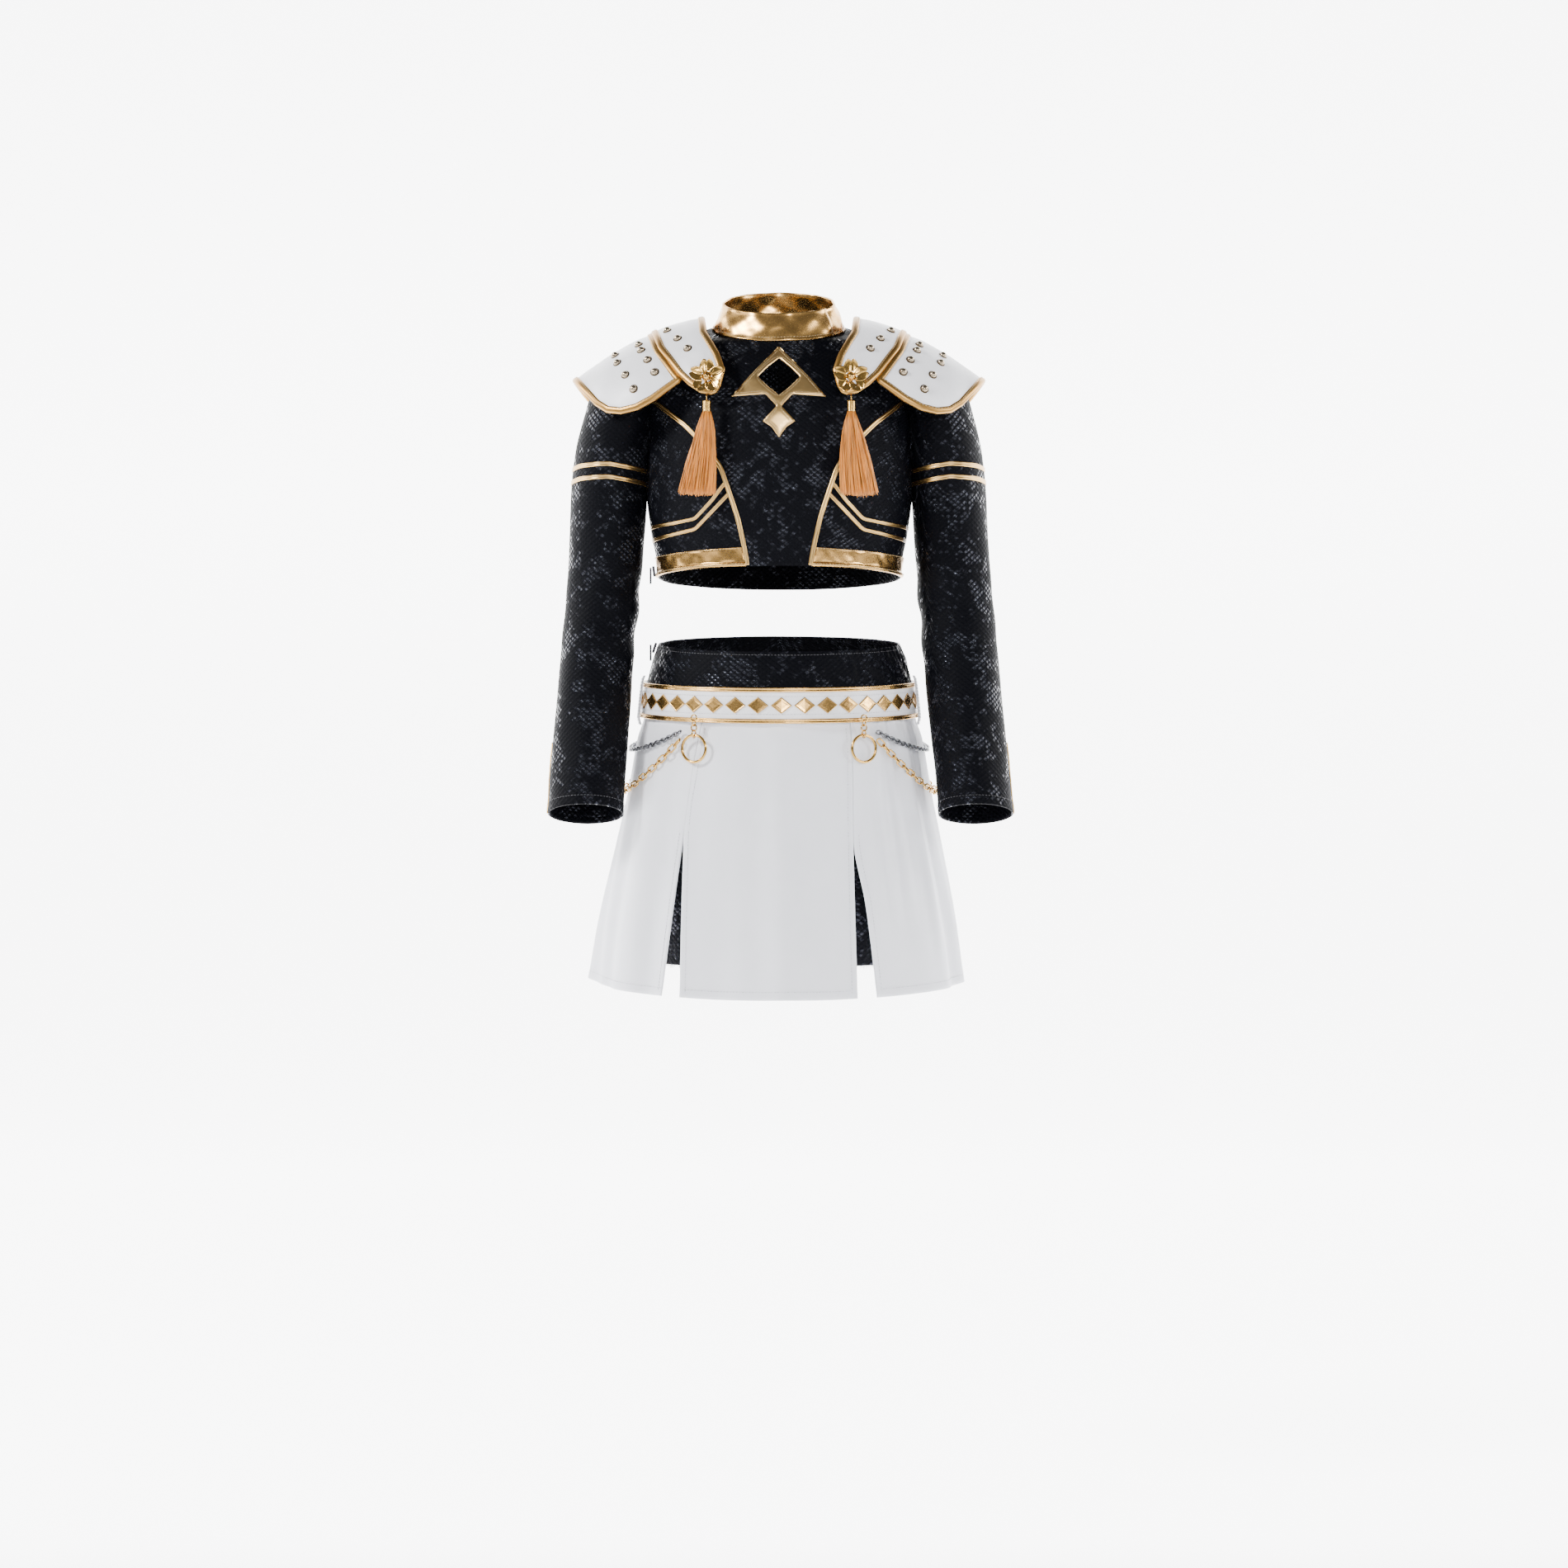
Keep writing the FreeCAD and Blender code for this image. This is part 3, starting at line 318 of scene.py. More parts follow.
def hermite(knots, values, at):
    """Monotone cubic curve through values, so nothing bulges between the rings."""
    knots, values = np.asarray(knots, float), np.asarray(values, float)
    gaps = np.diff(knots)
    slopes = np.diff(values) / gaps
    tangents = np.concatenate([slopes[:1], slopes[:-1], slopes[-1:]])[:len(knots)]
    if len(knots) > 2:
        product = slopes[:-1] * slopes[1:]
        total = slopes[:-1] + slopes[1:]
        total[product <= 0] = 1
        tangents = np.concatenate([slopes[:1], np.where(product > 0, 2 * product / total, 0),
                                   slopes[-1:]])
    at = np.clip(at, knots[0], knots[-1])
    index = np.clip(np.searchsorted(knots, at, side="right") - 1, 0, len(gaps) - 1)
    gap = gaps[index]
    t = (at - knots[index]) / gap
    return (values[index] * (2 * t ** 3 - 3 * t ** 2 + 1)
            + values[index + 1] * (3 * t ** 2 - 2 * t ** 3)
            + gap * (tangents[index] * (t ** 3 - 2 * t ** 2 + t)
                     + tangents[index + 1] * (t ** 3 - t ** 2)))


def unit(vectors):
    return vectors / np.maximum(np.linalg.norm(vectors, axis=-1, keepdims=True), 1e-12)


def distances(path):
    """Distance of each point along a line of points."""
    return np.concatenate([[0], np.cumsum(np.linalg.norm(np.diff(path, axis=0), axis=1))])


def at_distance(values, along, where):
    """Values of a line's points at a distance along it."""
    return np.array([np.interp(where, along, values[:, k]) for k in range(3)])


def closed(line):
    """Line of points that comes back to its first point."""
    return np.concatenate([line, line[:1]])


def tube_faces(rows, columns, joined=False, flipped=False):
    """Quads round a tube of rows by columns points, and its ends unless they are joined."""
    quads = []
    for r in range(rows if joined else rows - 1):
        for c in range(columns):
            after, beside = (r + 1) % rows, (c + 1) % columns
            quads.append([r * columns + c, r * columns + beside, after * columns + beside,
                          after * columns + c])
    ends = [] if joined else [list(range(columns))[::-1],
                              [(rows - 1) * columns + c for c in range(columns)]]
    if flipped:
        quads = [[quad[0], *quad[:0:-1]] for quad in quads]
        ends = [end[::-1] for end in ends]
    return quads + ends


class Rings:
    """Smooth surface round the body. s runs from 0 at the bottom ring to 1 at the top one."""

    def __init__(self, name):
        table = np.array(RINGS[name], float)
        table[:, :3] *= MM
        table[:, 3] = np.radians(table[:, 3])
        self.table = table
        steps = np.hypot(np.diff(table[:, 0]), np.diff(table[:, 1]))
        self.length = steps.sum()
        self.knots = np.concatenate([[0], np.cumsum(steps)]) / self.length

    def ring(self, s):
        return [hermite(self.knots, self.table[:, column], s) for column in range(4)]

    def point(self, s, angle):
        """Point at an angle from the front towards the wearer's left."""
        height, wide, deep, tilt = self.ring(s)
        across, forward = wide * np.sin(angle), -deep * np.cos(angle)
        return np.stack([across, forward * np.cos(tilt), height + forward * np.sin(tilt)], -1)

    def edge(self, levels, line):
        """Angle at each level where the front-view line (height, across) runs."""
        heights, across = np.array(line, float).T * MM
        height, wide, deep, tilt = self.ring(levels)
        angle = np.zeros_like(levels)
        for _ in range(12):
            level = height - deep * np.cos(angle) * np.sin(tilt)
            angle = np.arcsin(np.clip(hermite(heights, across, level) / wide, -1, 1))
        return angle

    def levels(self, start, stop, spacing):
        count = max(int(abs(stop - start) * self.length / (spacing * MM)), 2) + 1
        return np.linspace(start, stop, count)


def normals_of(points, wrap=False):
    """Outward unit normals of a grid of points."""
    if wrap:
        padded = np.concatenate([points[:, -1:], points, points[:, :1]], 1)
        along = np.gradient(padded, axis=1)[:, 1:-1]
    else:
        along = np.gradient(points, axis=1)
    up = np.gradient(points, axis=0)
    return unit(np.cross(along, up))


class Mesh:
    """Points, faces, corner UVs in metres and material numbers, gathered into one object."""

    def __init__(self):
        self.points, self.faces, self.uvs, self.kinds, self.total = [], [], [], [], 0

    def add(self, points, faces, uvs, kind=0):
        """faces index points; uvs holds one list of (u, v) for each face, or one per point."""
        points = np.asarray(points, float).reshape(-1, 3)
        per_point = len(uvs) == len(points)
        for number, face in enumerate(faces):
            self.faces.append([self.total + i for i in face])
            self.uvs.extend([uvs[i] for i in face] if per_point else uvs[number])
            self.kinds.append(kind)
        self.points.append(points)
        self.total += len(points)

    def build(self, name, materials, smooth=True):
        data = bpy.data.meshes.new(name)
        data.from_pydata(np.concatenate(self.points).tolist(), [], self.faces)
        layer = data.uv_layers.new(name="metres")
        layer.data.foreach_set("uv", np.asarray(self.uvs, np.float32).ravel())
        for material in materials:
            data.materials.append(material)
        data.polygons.foreach_set("material_index", self.kinds)
        data.polygons.foreach_set("use_smooth", [smooth] * len(self.faces))
        data.update()
        made = bpy.data.objects.new(name, data)
        bpy.context.scene.collection.objects.link(made)
        return made

    def tree(self):
        """Ray target made of everything added so far."""
        return BVHTree.FromPolygons(np.concatenate(self.points).tolist(), self.faces)


def grid_uv(points, wrap=False):
    """Arc lengths along the middle row and up the middle column of each point of a grid."""
    if wrap:
        points = np.concatenate([points, points[:, :1]], 1)
    rows, columns = points.shape[:2]
    along = np.concatenate([np.zeros((rows, 1)),
                            np.cumsum(np.linalg.norm(np.diff(points, axis=1), axis=2), 1)], 1)
    along -= along[:, columns // 2][:, None]
    up = distances(points[:, columns // 2])
    return np.stack([along, np.broadcast_to(up[:, None], along.shape)], -1)


def add_sheet(mesh, outer, inner, wrap=False, keep=None, kind=0, back_kind=None, uv=None):
    """Closed cloth between two grids; keep marks the cells that aren't cut away."""
    rows, columns = outer.shape[:2]
    cells = columns if wrap else columns - 1
    uv = grid_uv(outer, wrap) if uv is None else uv
    keep = np.ones((rows - 1, cells), bool) if keep is None else keep
    back_kind = kind if back_kind is None else back_kind
    faces, uvs, back_faces = [], [], []
    offset = rows * columns

    def corner(r, c, layer):
        return layer * offset + r * columns + c % columns

    def texel(r, c):
        return tuple(uv[r, c])

    for r in range(rows - 1):
        for c in range(cells):
            if not keep[r, c]:
                continue
            spots = [(r, c), (r, c + 1), (r + 1, c + 1), (r + 1, c)]
            faces.append([corner(*spot, 0) for spot in spots])
            uvs.append([texel(*spot) for spot in spots])
            back_faces.append(([corner(*spot, 1) for spot in spots[::-1]],
                               [texel(*spot) for spot in spots[::-1]]))
            sides = (((r - 1, c), 0, 1), ((r, c + 1), 1, 2), ((r + 1, c), 2, 3), ((r, c - 1), 3, 0))
            for (near, far), first, second in sides:
                if wrap:
                    far %= cells
                open_side = not (0 <= near < rows - 1 and 0 <= far < cells) or not keep[near, far]
                if open_side:
                    start, stop = spots[first], spots[second]
                    faces.append([corner(*stop, 0), corner(*start, 0), corner(*start, 1),
                                  corner(*stop, 1)])
                    uvs.append([texel(*stop), texel(*start), texel(*start), texel(*stop)])
    points = np.concatenate([outer.reshape(-1, 3), inner.reshape(-1, 3)])
    used = sorted({i for face in faces for i in face} | {i for face, _ in back_faces for i in face})
    renumber = np.full(len(points), -1)
    renumber[used] = np.arange(len(used))
    base = mesh.total
    mesh.add(points[used], [[renumber[i] for i in face] for face in faces], uvs, kind)
    for face, corners in back_faces:
        mesh.faces.append([base + renumber[i] for i in face])
        mesh.uvs.extend(corners)
        mesh.kinds.append(back_kind)


def resample(path, spacing):
    """Points a spacing apart along a line of points, in mm or metres alike."""
    path = np.asarray(path, float)
    steps = np.linalg.norm(np.diff(path, axis=0), axis=1)
    path = path[np.concatenate([[True], steps > 1e-9])]
    steps = steps[steps > 1e-9]
    along = np.concatenate([[0], np.cumsum(steps)])
    count = max(int(round(along[-1] / spacing)), 2) + 1
    at = np.linspace(0, along[-1], count)
    return np.stack([np.interp(at, along, path[:, k]) for k in range(path.shape[1])], 1)


def rounded(path, spacing, passes=6):
    """Path resampled and relaxed, so its corners are slightly round and its ends stay."""
    path = resample(path, spacing)
    for _ in range(passes):
        path[1:-1] = (path[:-2] + 2 * path[1:-1] + path[2:]) / 4
    return path


def add_ribbon(mesh, path, normals, half_width, thickness, section, kind=0, joined=False,
               ripple=0.0, seed=1):
    """Strip with the given cross-section laid along a path on a surface."""
    if joined:
        tangents = unit(np.roll(path, -1, 0) - np.roll(path, 1, 0))
    else:
        tangents = unit(np.gradient(path, axis=0))
    across = unit(np.cross(normals, tangents))
    random = np.random.default_rng(seed)
    count, width = len(path), len(section)
    section = np.array(section, float)
    lift = np.ones(count) + ripple * np.convolve(random.normal(size=count + 4), np.ones(5) / 5,
                                                 "valid")
    side = np.broadcast_to(np.asarray(half_width, float), (count,))
    points = (path[:, None] + across[:, None] * (section[None, :, :1] * side[:, None, None])
              + normals[:, None] * (section[None, :, 1:] * thickness * lift[:, None, None]))
    along = distances(path)
    uvs = [(along[r], section[c, 0] * side[r]) for r in range(count) for c in range(width)]
    mesh.add(points, tube_faces(count, width, joined, flipped=True), uvs, kind)


def add_stitches(mesh, path, normals, kind, pitch=2.8, length=2.1):
    """Row of thread stitches along a path on a surface; sizes in mm."""
    along = distances(path)
    ring = [(math.cos(a), math.sin(a)) for a in np.linspace(0, 2 * math.pi, 6)[:-1]]
    # each row of a stitch: share of its length, of its thickness, and rise in thread radii
    rows = [(-0.5, 0.25, -0.5), (-0.3, 0.85, 0.5), (0, 1, 0.9), (0.3, 0.85, 0.5), (0.5, 0.25, -0.5)]
    faces = tube_faces(len(rows), len(ring))
    for number in range(int(along[-1] / (pitch * MM))):
        middle = (number + 0.5) * pitch * MM
        start, stop = (at_distance(path, along, middle + share * length * MM)
                       for share in (-0.5, 0.5))
        normal = unit(at_distance(normals, along, middle))
        run = unit(stop - start)
        side = np.cross(normal, run)
        centre = (start + stop) / 2
        points = [centre + run * share * length * MM
                  + side * x * width * THREAD_RADIUS * MM
                  + normal * ((y * width + rise) * THREAD_RADIUS + THREAD_LIFT) * MM
                  for share, width, rise in rows for x, y in ring]
        mesh.add(points, faces, [(0.0, 0.0)] * len(points), kind)


def stitch_round(mesh, outer, normals, row, **sizes):
    """Stitches all the way round one row of a band."""
    add_stitches(mesh, closed(outer[row]), closed(normals[row]), 1, **sizes)


def add_lathe(mesh, origin, axis, profile, segments=20, kind=0):
    """Turned shape: profile gives radius and distance along the axis, in mm."""
    axis = unit(np.asarray(axis, float))
    side = unit(np.cross(axis, (0.3, 0.2, 0.93)))
    other = np.cross(axis, side)
    points = [origin + axis * rise * MM
              + (side * math.cos(a) + other * math.sin(a)) * max(radius, 0.01) * MM
              for radius, rise in profile
              for a in np.linspace(0, 2 * math.pi, segments + 1)[:-1]]
    mesh.add(points, tube_faces(len(profile), segments), [(0.0, 0.0)] * len(points), kind)


def add_tube(mesh, path, radii, sides):
    """Round strand along a path; radii in metres, one for each point."""
    path = np.asarray(path, float)
    tangents = unit(np.gradient(path, axis=0))
    side = unit(np.cross(tangents, np.broadcast_to((0.12, 0.97, 0.2), tangents.shape)))
    other = np.cross(tangents, side)
    turns = np.linspace(0, 2 * math.pi, sides + 1)[:-1]
    radii = np.broadcast_to(np.asarray(radii, float), (len(path),))
    points = (path[:, None] + radii[:, None, None]
              * (side[:, None] * np.cos(turns)[None, :, None]
                 + other[:, None] * np.sin(turns)[None, :, None]))
    mesh.add(points, tube_faces(len(path), sides), [(0.0, 0.0)] * (len(path) * sides))


def cast_front(tree, across, height):
    """First point and outward normal met from the front, or None."""
    hit, normal, _, _ = tree.ray_cast(Vector((across, -1, height)), Vector((0, 1, 0)))
    if hit is None or hit.y > 0.002:
        return None
    if normal.y > 0:
        normal = -normal
    return np.array(hit), np.array(normal)


def on_front(tree, path):
    """Front-view path in mm laid on a surface: its points and smoothed normals."""
    found = [cast_front(tree, across * MM, height * MM) for across, height in path]
    found = [pair for pair in found if pair]
    points = np.array([pair[0] for pair in found])
    normals = np.array([pair[1] for pair in found])
    for _ in range(3):
        normals[1:-1] = normals[:-2] + normals[1:-1] + normals[2:]
        normals = unit(normals)
    return points, normals


def settle(made, node, *others, slot, blend=None):
    """Let a piece ride with its node's body, or, given a blend, bake its transform where it stands,
    and stand for the nodes.
    """
    if blend:
        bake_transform(made)
    else:
        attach(made, BODY_OF[node])
    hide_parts(node, *others)


def waves(angle, s, parts):
    """Sum of ripples: each part is waves round the body, rise along s, phase and height."""
    total = np.zeros(np.broadcast(angle, s).shape)
    for number, rise, phase, height in parts:
        total += height * MM * np.sin(number * angle + rise * s + phase)
    return total


# ---------------------------------------------------------------- bodice

TORSO = Rings("torso")


def sleeve_ring(side, s):
    """The sleeve table's columns, in metres and radians, at s from 0 (shoulder) to 1 (cuff)."""
    table = np.array(SLEEVE + [(CUFF_REACH[side], *CUFF_RING)], float)
    steps = np.linalg.norm(np.diff(table[:, :3], axis=0), axis=1)
    knots = np.concatenate([[0], np.cumsum(steps)]) / steps.sum()
    values = [hermite(knots, table[:, column], s) for column in range(6)]
    return [values[0] * MM, values[1] * MM, values[2] * MM, np.radians(values[3]),
            values[4] * MM, values[5] * MM]


def sleeve_point(side, s, turn):
    """Point of a sleeve; turn is 0 on the outer side and grows towards the front."""
    x, y, z, lean, wide, deep = sleeve_ring(side, s)
    local = -deep * np.sin(turn)
    return np.stack([side * (x + wide * np.cos(turn)), y + local * np.cos(lean),
                     z + local * np.sin(lean)], -1)


def inside_torso(points, margin=0.0):
    """True where a point lies inside the torso, deeper than the margin in mm."""
    z = points[..., 2]
    heights = TORSO.table[:, 0]
    wide = np.interp(z, heights, TORSO.table[:, 1]) - margin * MM
    deep = np.interp(z, heights, TORSO.table[:, 2]) - margin * MM
    ratio = (points[..., 0] / wide) ** 2 + (points[..., 1] / deep) ** 2
    return (ratio < 1) & (z > heights[0]) & (z < heights[-1])


def inside_sleeve(points):
    """True where a point lies well inside either sleeve's shoulder."""
    share, lowest, highest = 0.86, 0.118, 0.25
    found = np.zeros(points.shape[:-1], bool)
    height = points[..., 2]
    for side in (LEFT, RIGHT):
        x, _, z, _, wide, deep = sleeve_ring(side, np.linspace(0, 0.5, 60))
        order = np.argsort(z)
        middle, half, depth = (np.interp(height, z[order], v[order]) for v in (x, wide, deep))
        ratio = ((side * points[..., 0] - middle) / half) ** 2 + (points[..., 1] / depth) ** 2
        found |= (ratio < share ** 2) & (height > lowest) & (height < highest)
    return found


def torso_lift(angle, s):
    drape = waves(angle, s, [(5, 4, 0.4, 0.35), (9, -7, 1.3, 0.25), (13, 11, 2.2, 0.14)])
    armpit = np.exp(-((np.abs(np.sin(angle)) - 0.86) / 0.1) ** 2) * np.exp(-((s - 0.5) / 0.16) ** 2)
    return drape + armpit * 0.9 * MM * np.sin(26 * s + 9 * np.abs(angle))


def make_panel(mesh, rings, levels, left, right, columns, lift, keep=None):
    """Panel between two edges given as angles at each level. Returns its outer grid."""
    share = np.linspace(0, 1, columns)[None, :]
    angle = left[:, None] * (1 - share) + right[:, None] * share
    s = np.broadcast_to(levels[:, None], angle.shape)
    base = rings.point(s, angle)
    normals = normals_of(base)
    raised = lift(angle, s)[..., None]
    outer = base + normals * raised
    kept = None if keep is None else keep((outer[:-1, :-1] + outer[1:, 1:]) / 2)
    add_sheet(mesh, outer, outer - normals * CLOTH_WALL * MM, keep=kept)
    return outer, normals


def closed_band(rings, levels, columns, lift, wall, mesh):
    """Band round the body; returns its outer grid and normals."""
    angle = np.linspace(-math.pi, math.pi, columns + 1)[:-1][None, :] + np.zeros((len(levels), 1))
    s = np.broadcast_to(levels[:, None], angle.shape)
    base = rings.point(s, angle)
    normals = normals_of(base, wrap=True)
    outer = base + normals * lift(angle, s)[..., None]
    add_sheet(mesh, outer, outer - normals * wall * MM, wrap=True)
    return outer, normals


def inside_outline(points, outline):
    """Even-odd test of 2D points against a closed outline."""
    inside = np.zeros(len(points), bool)
    x, z = points[:, 0], points[:, 1]
    for (x0, z0), (x1, z1) in zip(outline, np.roll(outline, -1, 0)):
        crosses = (z0 > z) != (z1 > z)
        with np.errstate(divide="ignore", invalid="ignore"):
            at = (x1 - x0) * (z - z0) / (z1 - z0) + x0
        inside ^= crosses & (x < at)
    return inside


def closed_path(corners):
    """Closed front-view outline with softened corners and a point every mm."""
    path = resample(closed(np.asarray(corners, float)), 1.0)[:-1]
    return (np.roll(path, 1, 0) + 4 * path + np.roll(path, -1, 0)) / 6


def inward(path, distance):
    """Closed path moved to its inner side by a distance, in mm."""
    tangents = unit(np.roll(path, -1, 0) - np.roll(path, 1, 0))
    normals = np.stack([-tangents[:, 1], tangents[:, 0]], 1)
    area = np.sum(path[:, 0] * np.roll(path[:, 1], -1) - np.roll(path[:, 0], -1) * path[:, 1])
    return path + normals * distance * np.sign(area)


def make_bodice():
    """Front panel with its keyhole, two side fronts and the back.

    Returns a ray target for the trims: the whole front, without the keyhole.
    """
    levels = TORSO.levels(0, 1, 2.4)
    edge = TORSO.edge(levels, PRINCESS)
    hole = closed_path(KEYHOLE)

    def uncovered(centres):
        return ~inside_sleeve(centres)

    def open_front(centres):
        flat = centres.reshape(-1, 3)
        cut = inside_outline(flat[:, [0, 2]] / MM, inward(hole, -0.6)) & (flat[:, 1] < 0)
        return uncovered(centres) & ~cut.reshape(centres.shape[:2])

    front = Mesh()
    make_panel(front, TORSO, levels, -edge, edge, 150, torso_lift, keep=open_front)
    whole = Mesh()
    make_panel(whole, TORSO, levels, -edge, edge, 90, torso_lift)
    settle(front.build("bodice_front_cloth", [FABRIC]), "bodice_front_panel", slot="scale_fabric")
    low = levels[edge < math.radians(84)]
    for side in (LEFT, RIGHT):
        near, far = side * TORSO.edge(low, PRINCESS), np.full(len(low), side * math.pi / 2)
        ends = (near, far) if side == LEFT else (far, near)
        panel = Mesh()
        make_panel(panel, TORSO, low, *ends, 60, torso_lift, keep=uncovered)
        whole.faces.extend([whole.total + i for i in face] for face in panel.faces)
        whole.points.extend(panel.points)
        whole.total += panel.total
        settle(panel.build(f"bodice_side_cloth_{HAND[side]}", [FABRIC]),
               f"bodice_side_front_{HAND[side]}", slot="scale_fabric")
    back = Mesh()
    quarter = np.full(len(levels), math.pi / 2)
    make_panel(back, TORSO, levels, quarter, 3 * quarter, 120, torso_lift, keep=uncovered)
    settle(back.build("bodice_back_cloth", [FABRIC]), "bodice_back", slot="scale_fabric")
    return whole.tree()


def make_collar():
    """Crinkled foil collar: it overlaps itself on the wearer's left and is stitched below."""
    rings = Rings("collar")
    levels = rings.levels(0, 1, 1.0)
    seam = math.radians(57)
    columns = 240

    def lift(angle, s):
        overlap = 1.1 * MM * np.clip((seam - angle) / math.radians(2.2), 0, 1) * (angle > -0.3)
        overlap = overlap * np.clip((angle + 0.3) / 0.5, 0, 1)
        creases = waves(angle, s, [(7, 5, 0.3, 0.42), (11, -8, 1.1, 0.3), (19, 9, 2.0, 0.12)])
        rims = 0.5 * MM * (np.exp(-((s - 0.97) / 0.05) ** 2) + np.exp(-((s - 0.03) / 0.06) ** 2))
        return 0.3 * MM + overlap + creases + rims

    mesh = Mesh()
    outer, normals = closed_band(rings, levels, columns, lift, 1.5, mesh)
    stitch_round(mesh, outer, normals, int(len(levels) * 0.12))
    column = int((seam + math.pi) / (2 * math.pi) * columns) - 3
    add_stitches(mesh, outer[:, column], normals[:, column], 1)
    settle(mesh.build("collar_foil", [FOIL, GOLD_STITCH]), "collar", slot="gold_fabric")


def make_front_trims(tree):
    """Princess pipings, chevrons with bar tacks, foil hem bands and the chest motif."""
    for side in (LEFT, RIGHT):
        hand = HAND[side]
        seam = [(side * across, height) for height, across in PRINCESS[:-1]]
        seam = rounded([(side * 26.5, 52.5)] + seam[1:] + [(side * 108, 208)], 1.6, 10)
        points, normals = on_front(tree, seam)
        mesh = Mesh()
        add_ribbon(mesh, points, normals, 2.1 * MM, 1.15 * MM, DOUBLE_RIDGE, ripple=0.12, seed=3)
        settle(mesh.build(f"princess_gold_{hand}", [TRIM]), f"princess_piping_{hand}",
               slot="gold_trim")
        mesh = Mesh()
        for path in (UPPER_CHEVRON, LOWER_CHEVRON):
            line = rounded([(side * across, height) for across, height in path], 1.2, 5)
            points, normals = on_front(tree, line)
            points = points + normals * 0.1 * MM
            add_ribbon(mesh, points, normals, 1.6 * MM, 1.0 * MM, DOUBLE_RIDGE, ripple=0.12, seed=4)
            if side == LEFT:
                tack = np.array([points[2] + (0, 0, 2.2 * MM), points[2] - (0, 0, 2.2 * MM)])
                tack = resample(tack + normals[2] * 0.9 * MM, 0.8 * MM)
                add_ribbon(mesh, tack, np.repeat(normals[2:3], len(tack), 0), 0.7 * MM, 0.5 * MM,
                           ROUND_PIPING, kind=1)
        settle(mesh.build(f"chevron_gold_{hand}", [TRIM, WHITE_STITCH]), f"chevrons_{hand}",
               slot="gold_trim")
        make_hem_band(side)
    make_motif(tree)


def make_hem_band(side):
    """Crinkled foil along the bodice's lower front, with a rolled edge and stitched top."""
    levels = TORSO.levels(0, 0.12, 0.7)
    near = TORSO.edge(levels, [(height, across + 1.2) for height, across in PRINCESS])
    far = np.full(len(levels), math.radians(89.5))
    columns = 120
    share = np.linspace(0, 1, columns)[None, :]
    angle = side * (near[:, None] * (1 - share) + far[:, None] * share)
    line = np.array(HEM_BAND_TOP, float)
    top = np.interp(np.abs(TORSO.point(levels[-1], angle[-1])[:, 0]) / MM, line[:, 0], line[:, 1])
    low = TORSO.point(0.0, angle[0])[:, 2] / MM
    high = TORSO.point(levels[-1], angle[-1])[:, 2] / MM
    reach = np.clip((top - low) / (high - low), 0, 1) * levels[-1]
    s = np.linspace(0, 1, len(levels))[:, None] * reach[None, :]
    base = TORSO.point(s, angle)
    normals = normals_of(base) * side
    rise = s * TORSO.length / MM
    roll = 1.3 * np.exp(-((rise - 2.0) / 1.7) ** 4)
    creases = waves(angle, s * 8, [(15, 6, 0.3, 0.3), (24, -8, 1.1, 0.2), (38, 11, 2.0, 0.1)]) / MM
    fade = np.clip((rise - 4) / 2, 0, 1) * np.clip((reach * TORSO.length / MM - rise) / 2, 0.15, 1)
    lift = (0.85 + roll + creases * fade) * MM + torso_lift(angle, s)
    outer = base + normals * lift[..., None]
    inner = base + normals * (torso_lift(angle, s) + 0.05 * MM)[..., None]
    mesh = Mesh()
    if side == RIGHT:
        outer, inner, normals = outer[:, ::-1], inner[:, ::-1], normals[:, ::-1]
    add_sheet(mesh, outer, inner)
    for row in (6, len(levels) - 3):
        add_stitches(mesh, outer[row], normals[row], 1)
    settle(mesh.build(f"hem_foil_{HAND[side]}", [FOIL, GOLD_STITCH]), f"hem_band_{HAND[side]}",
           slot="gold_fabric")


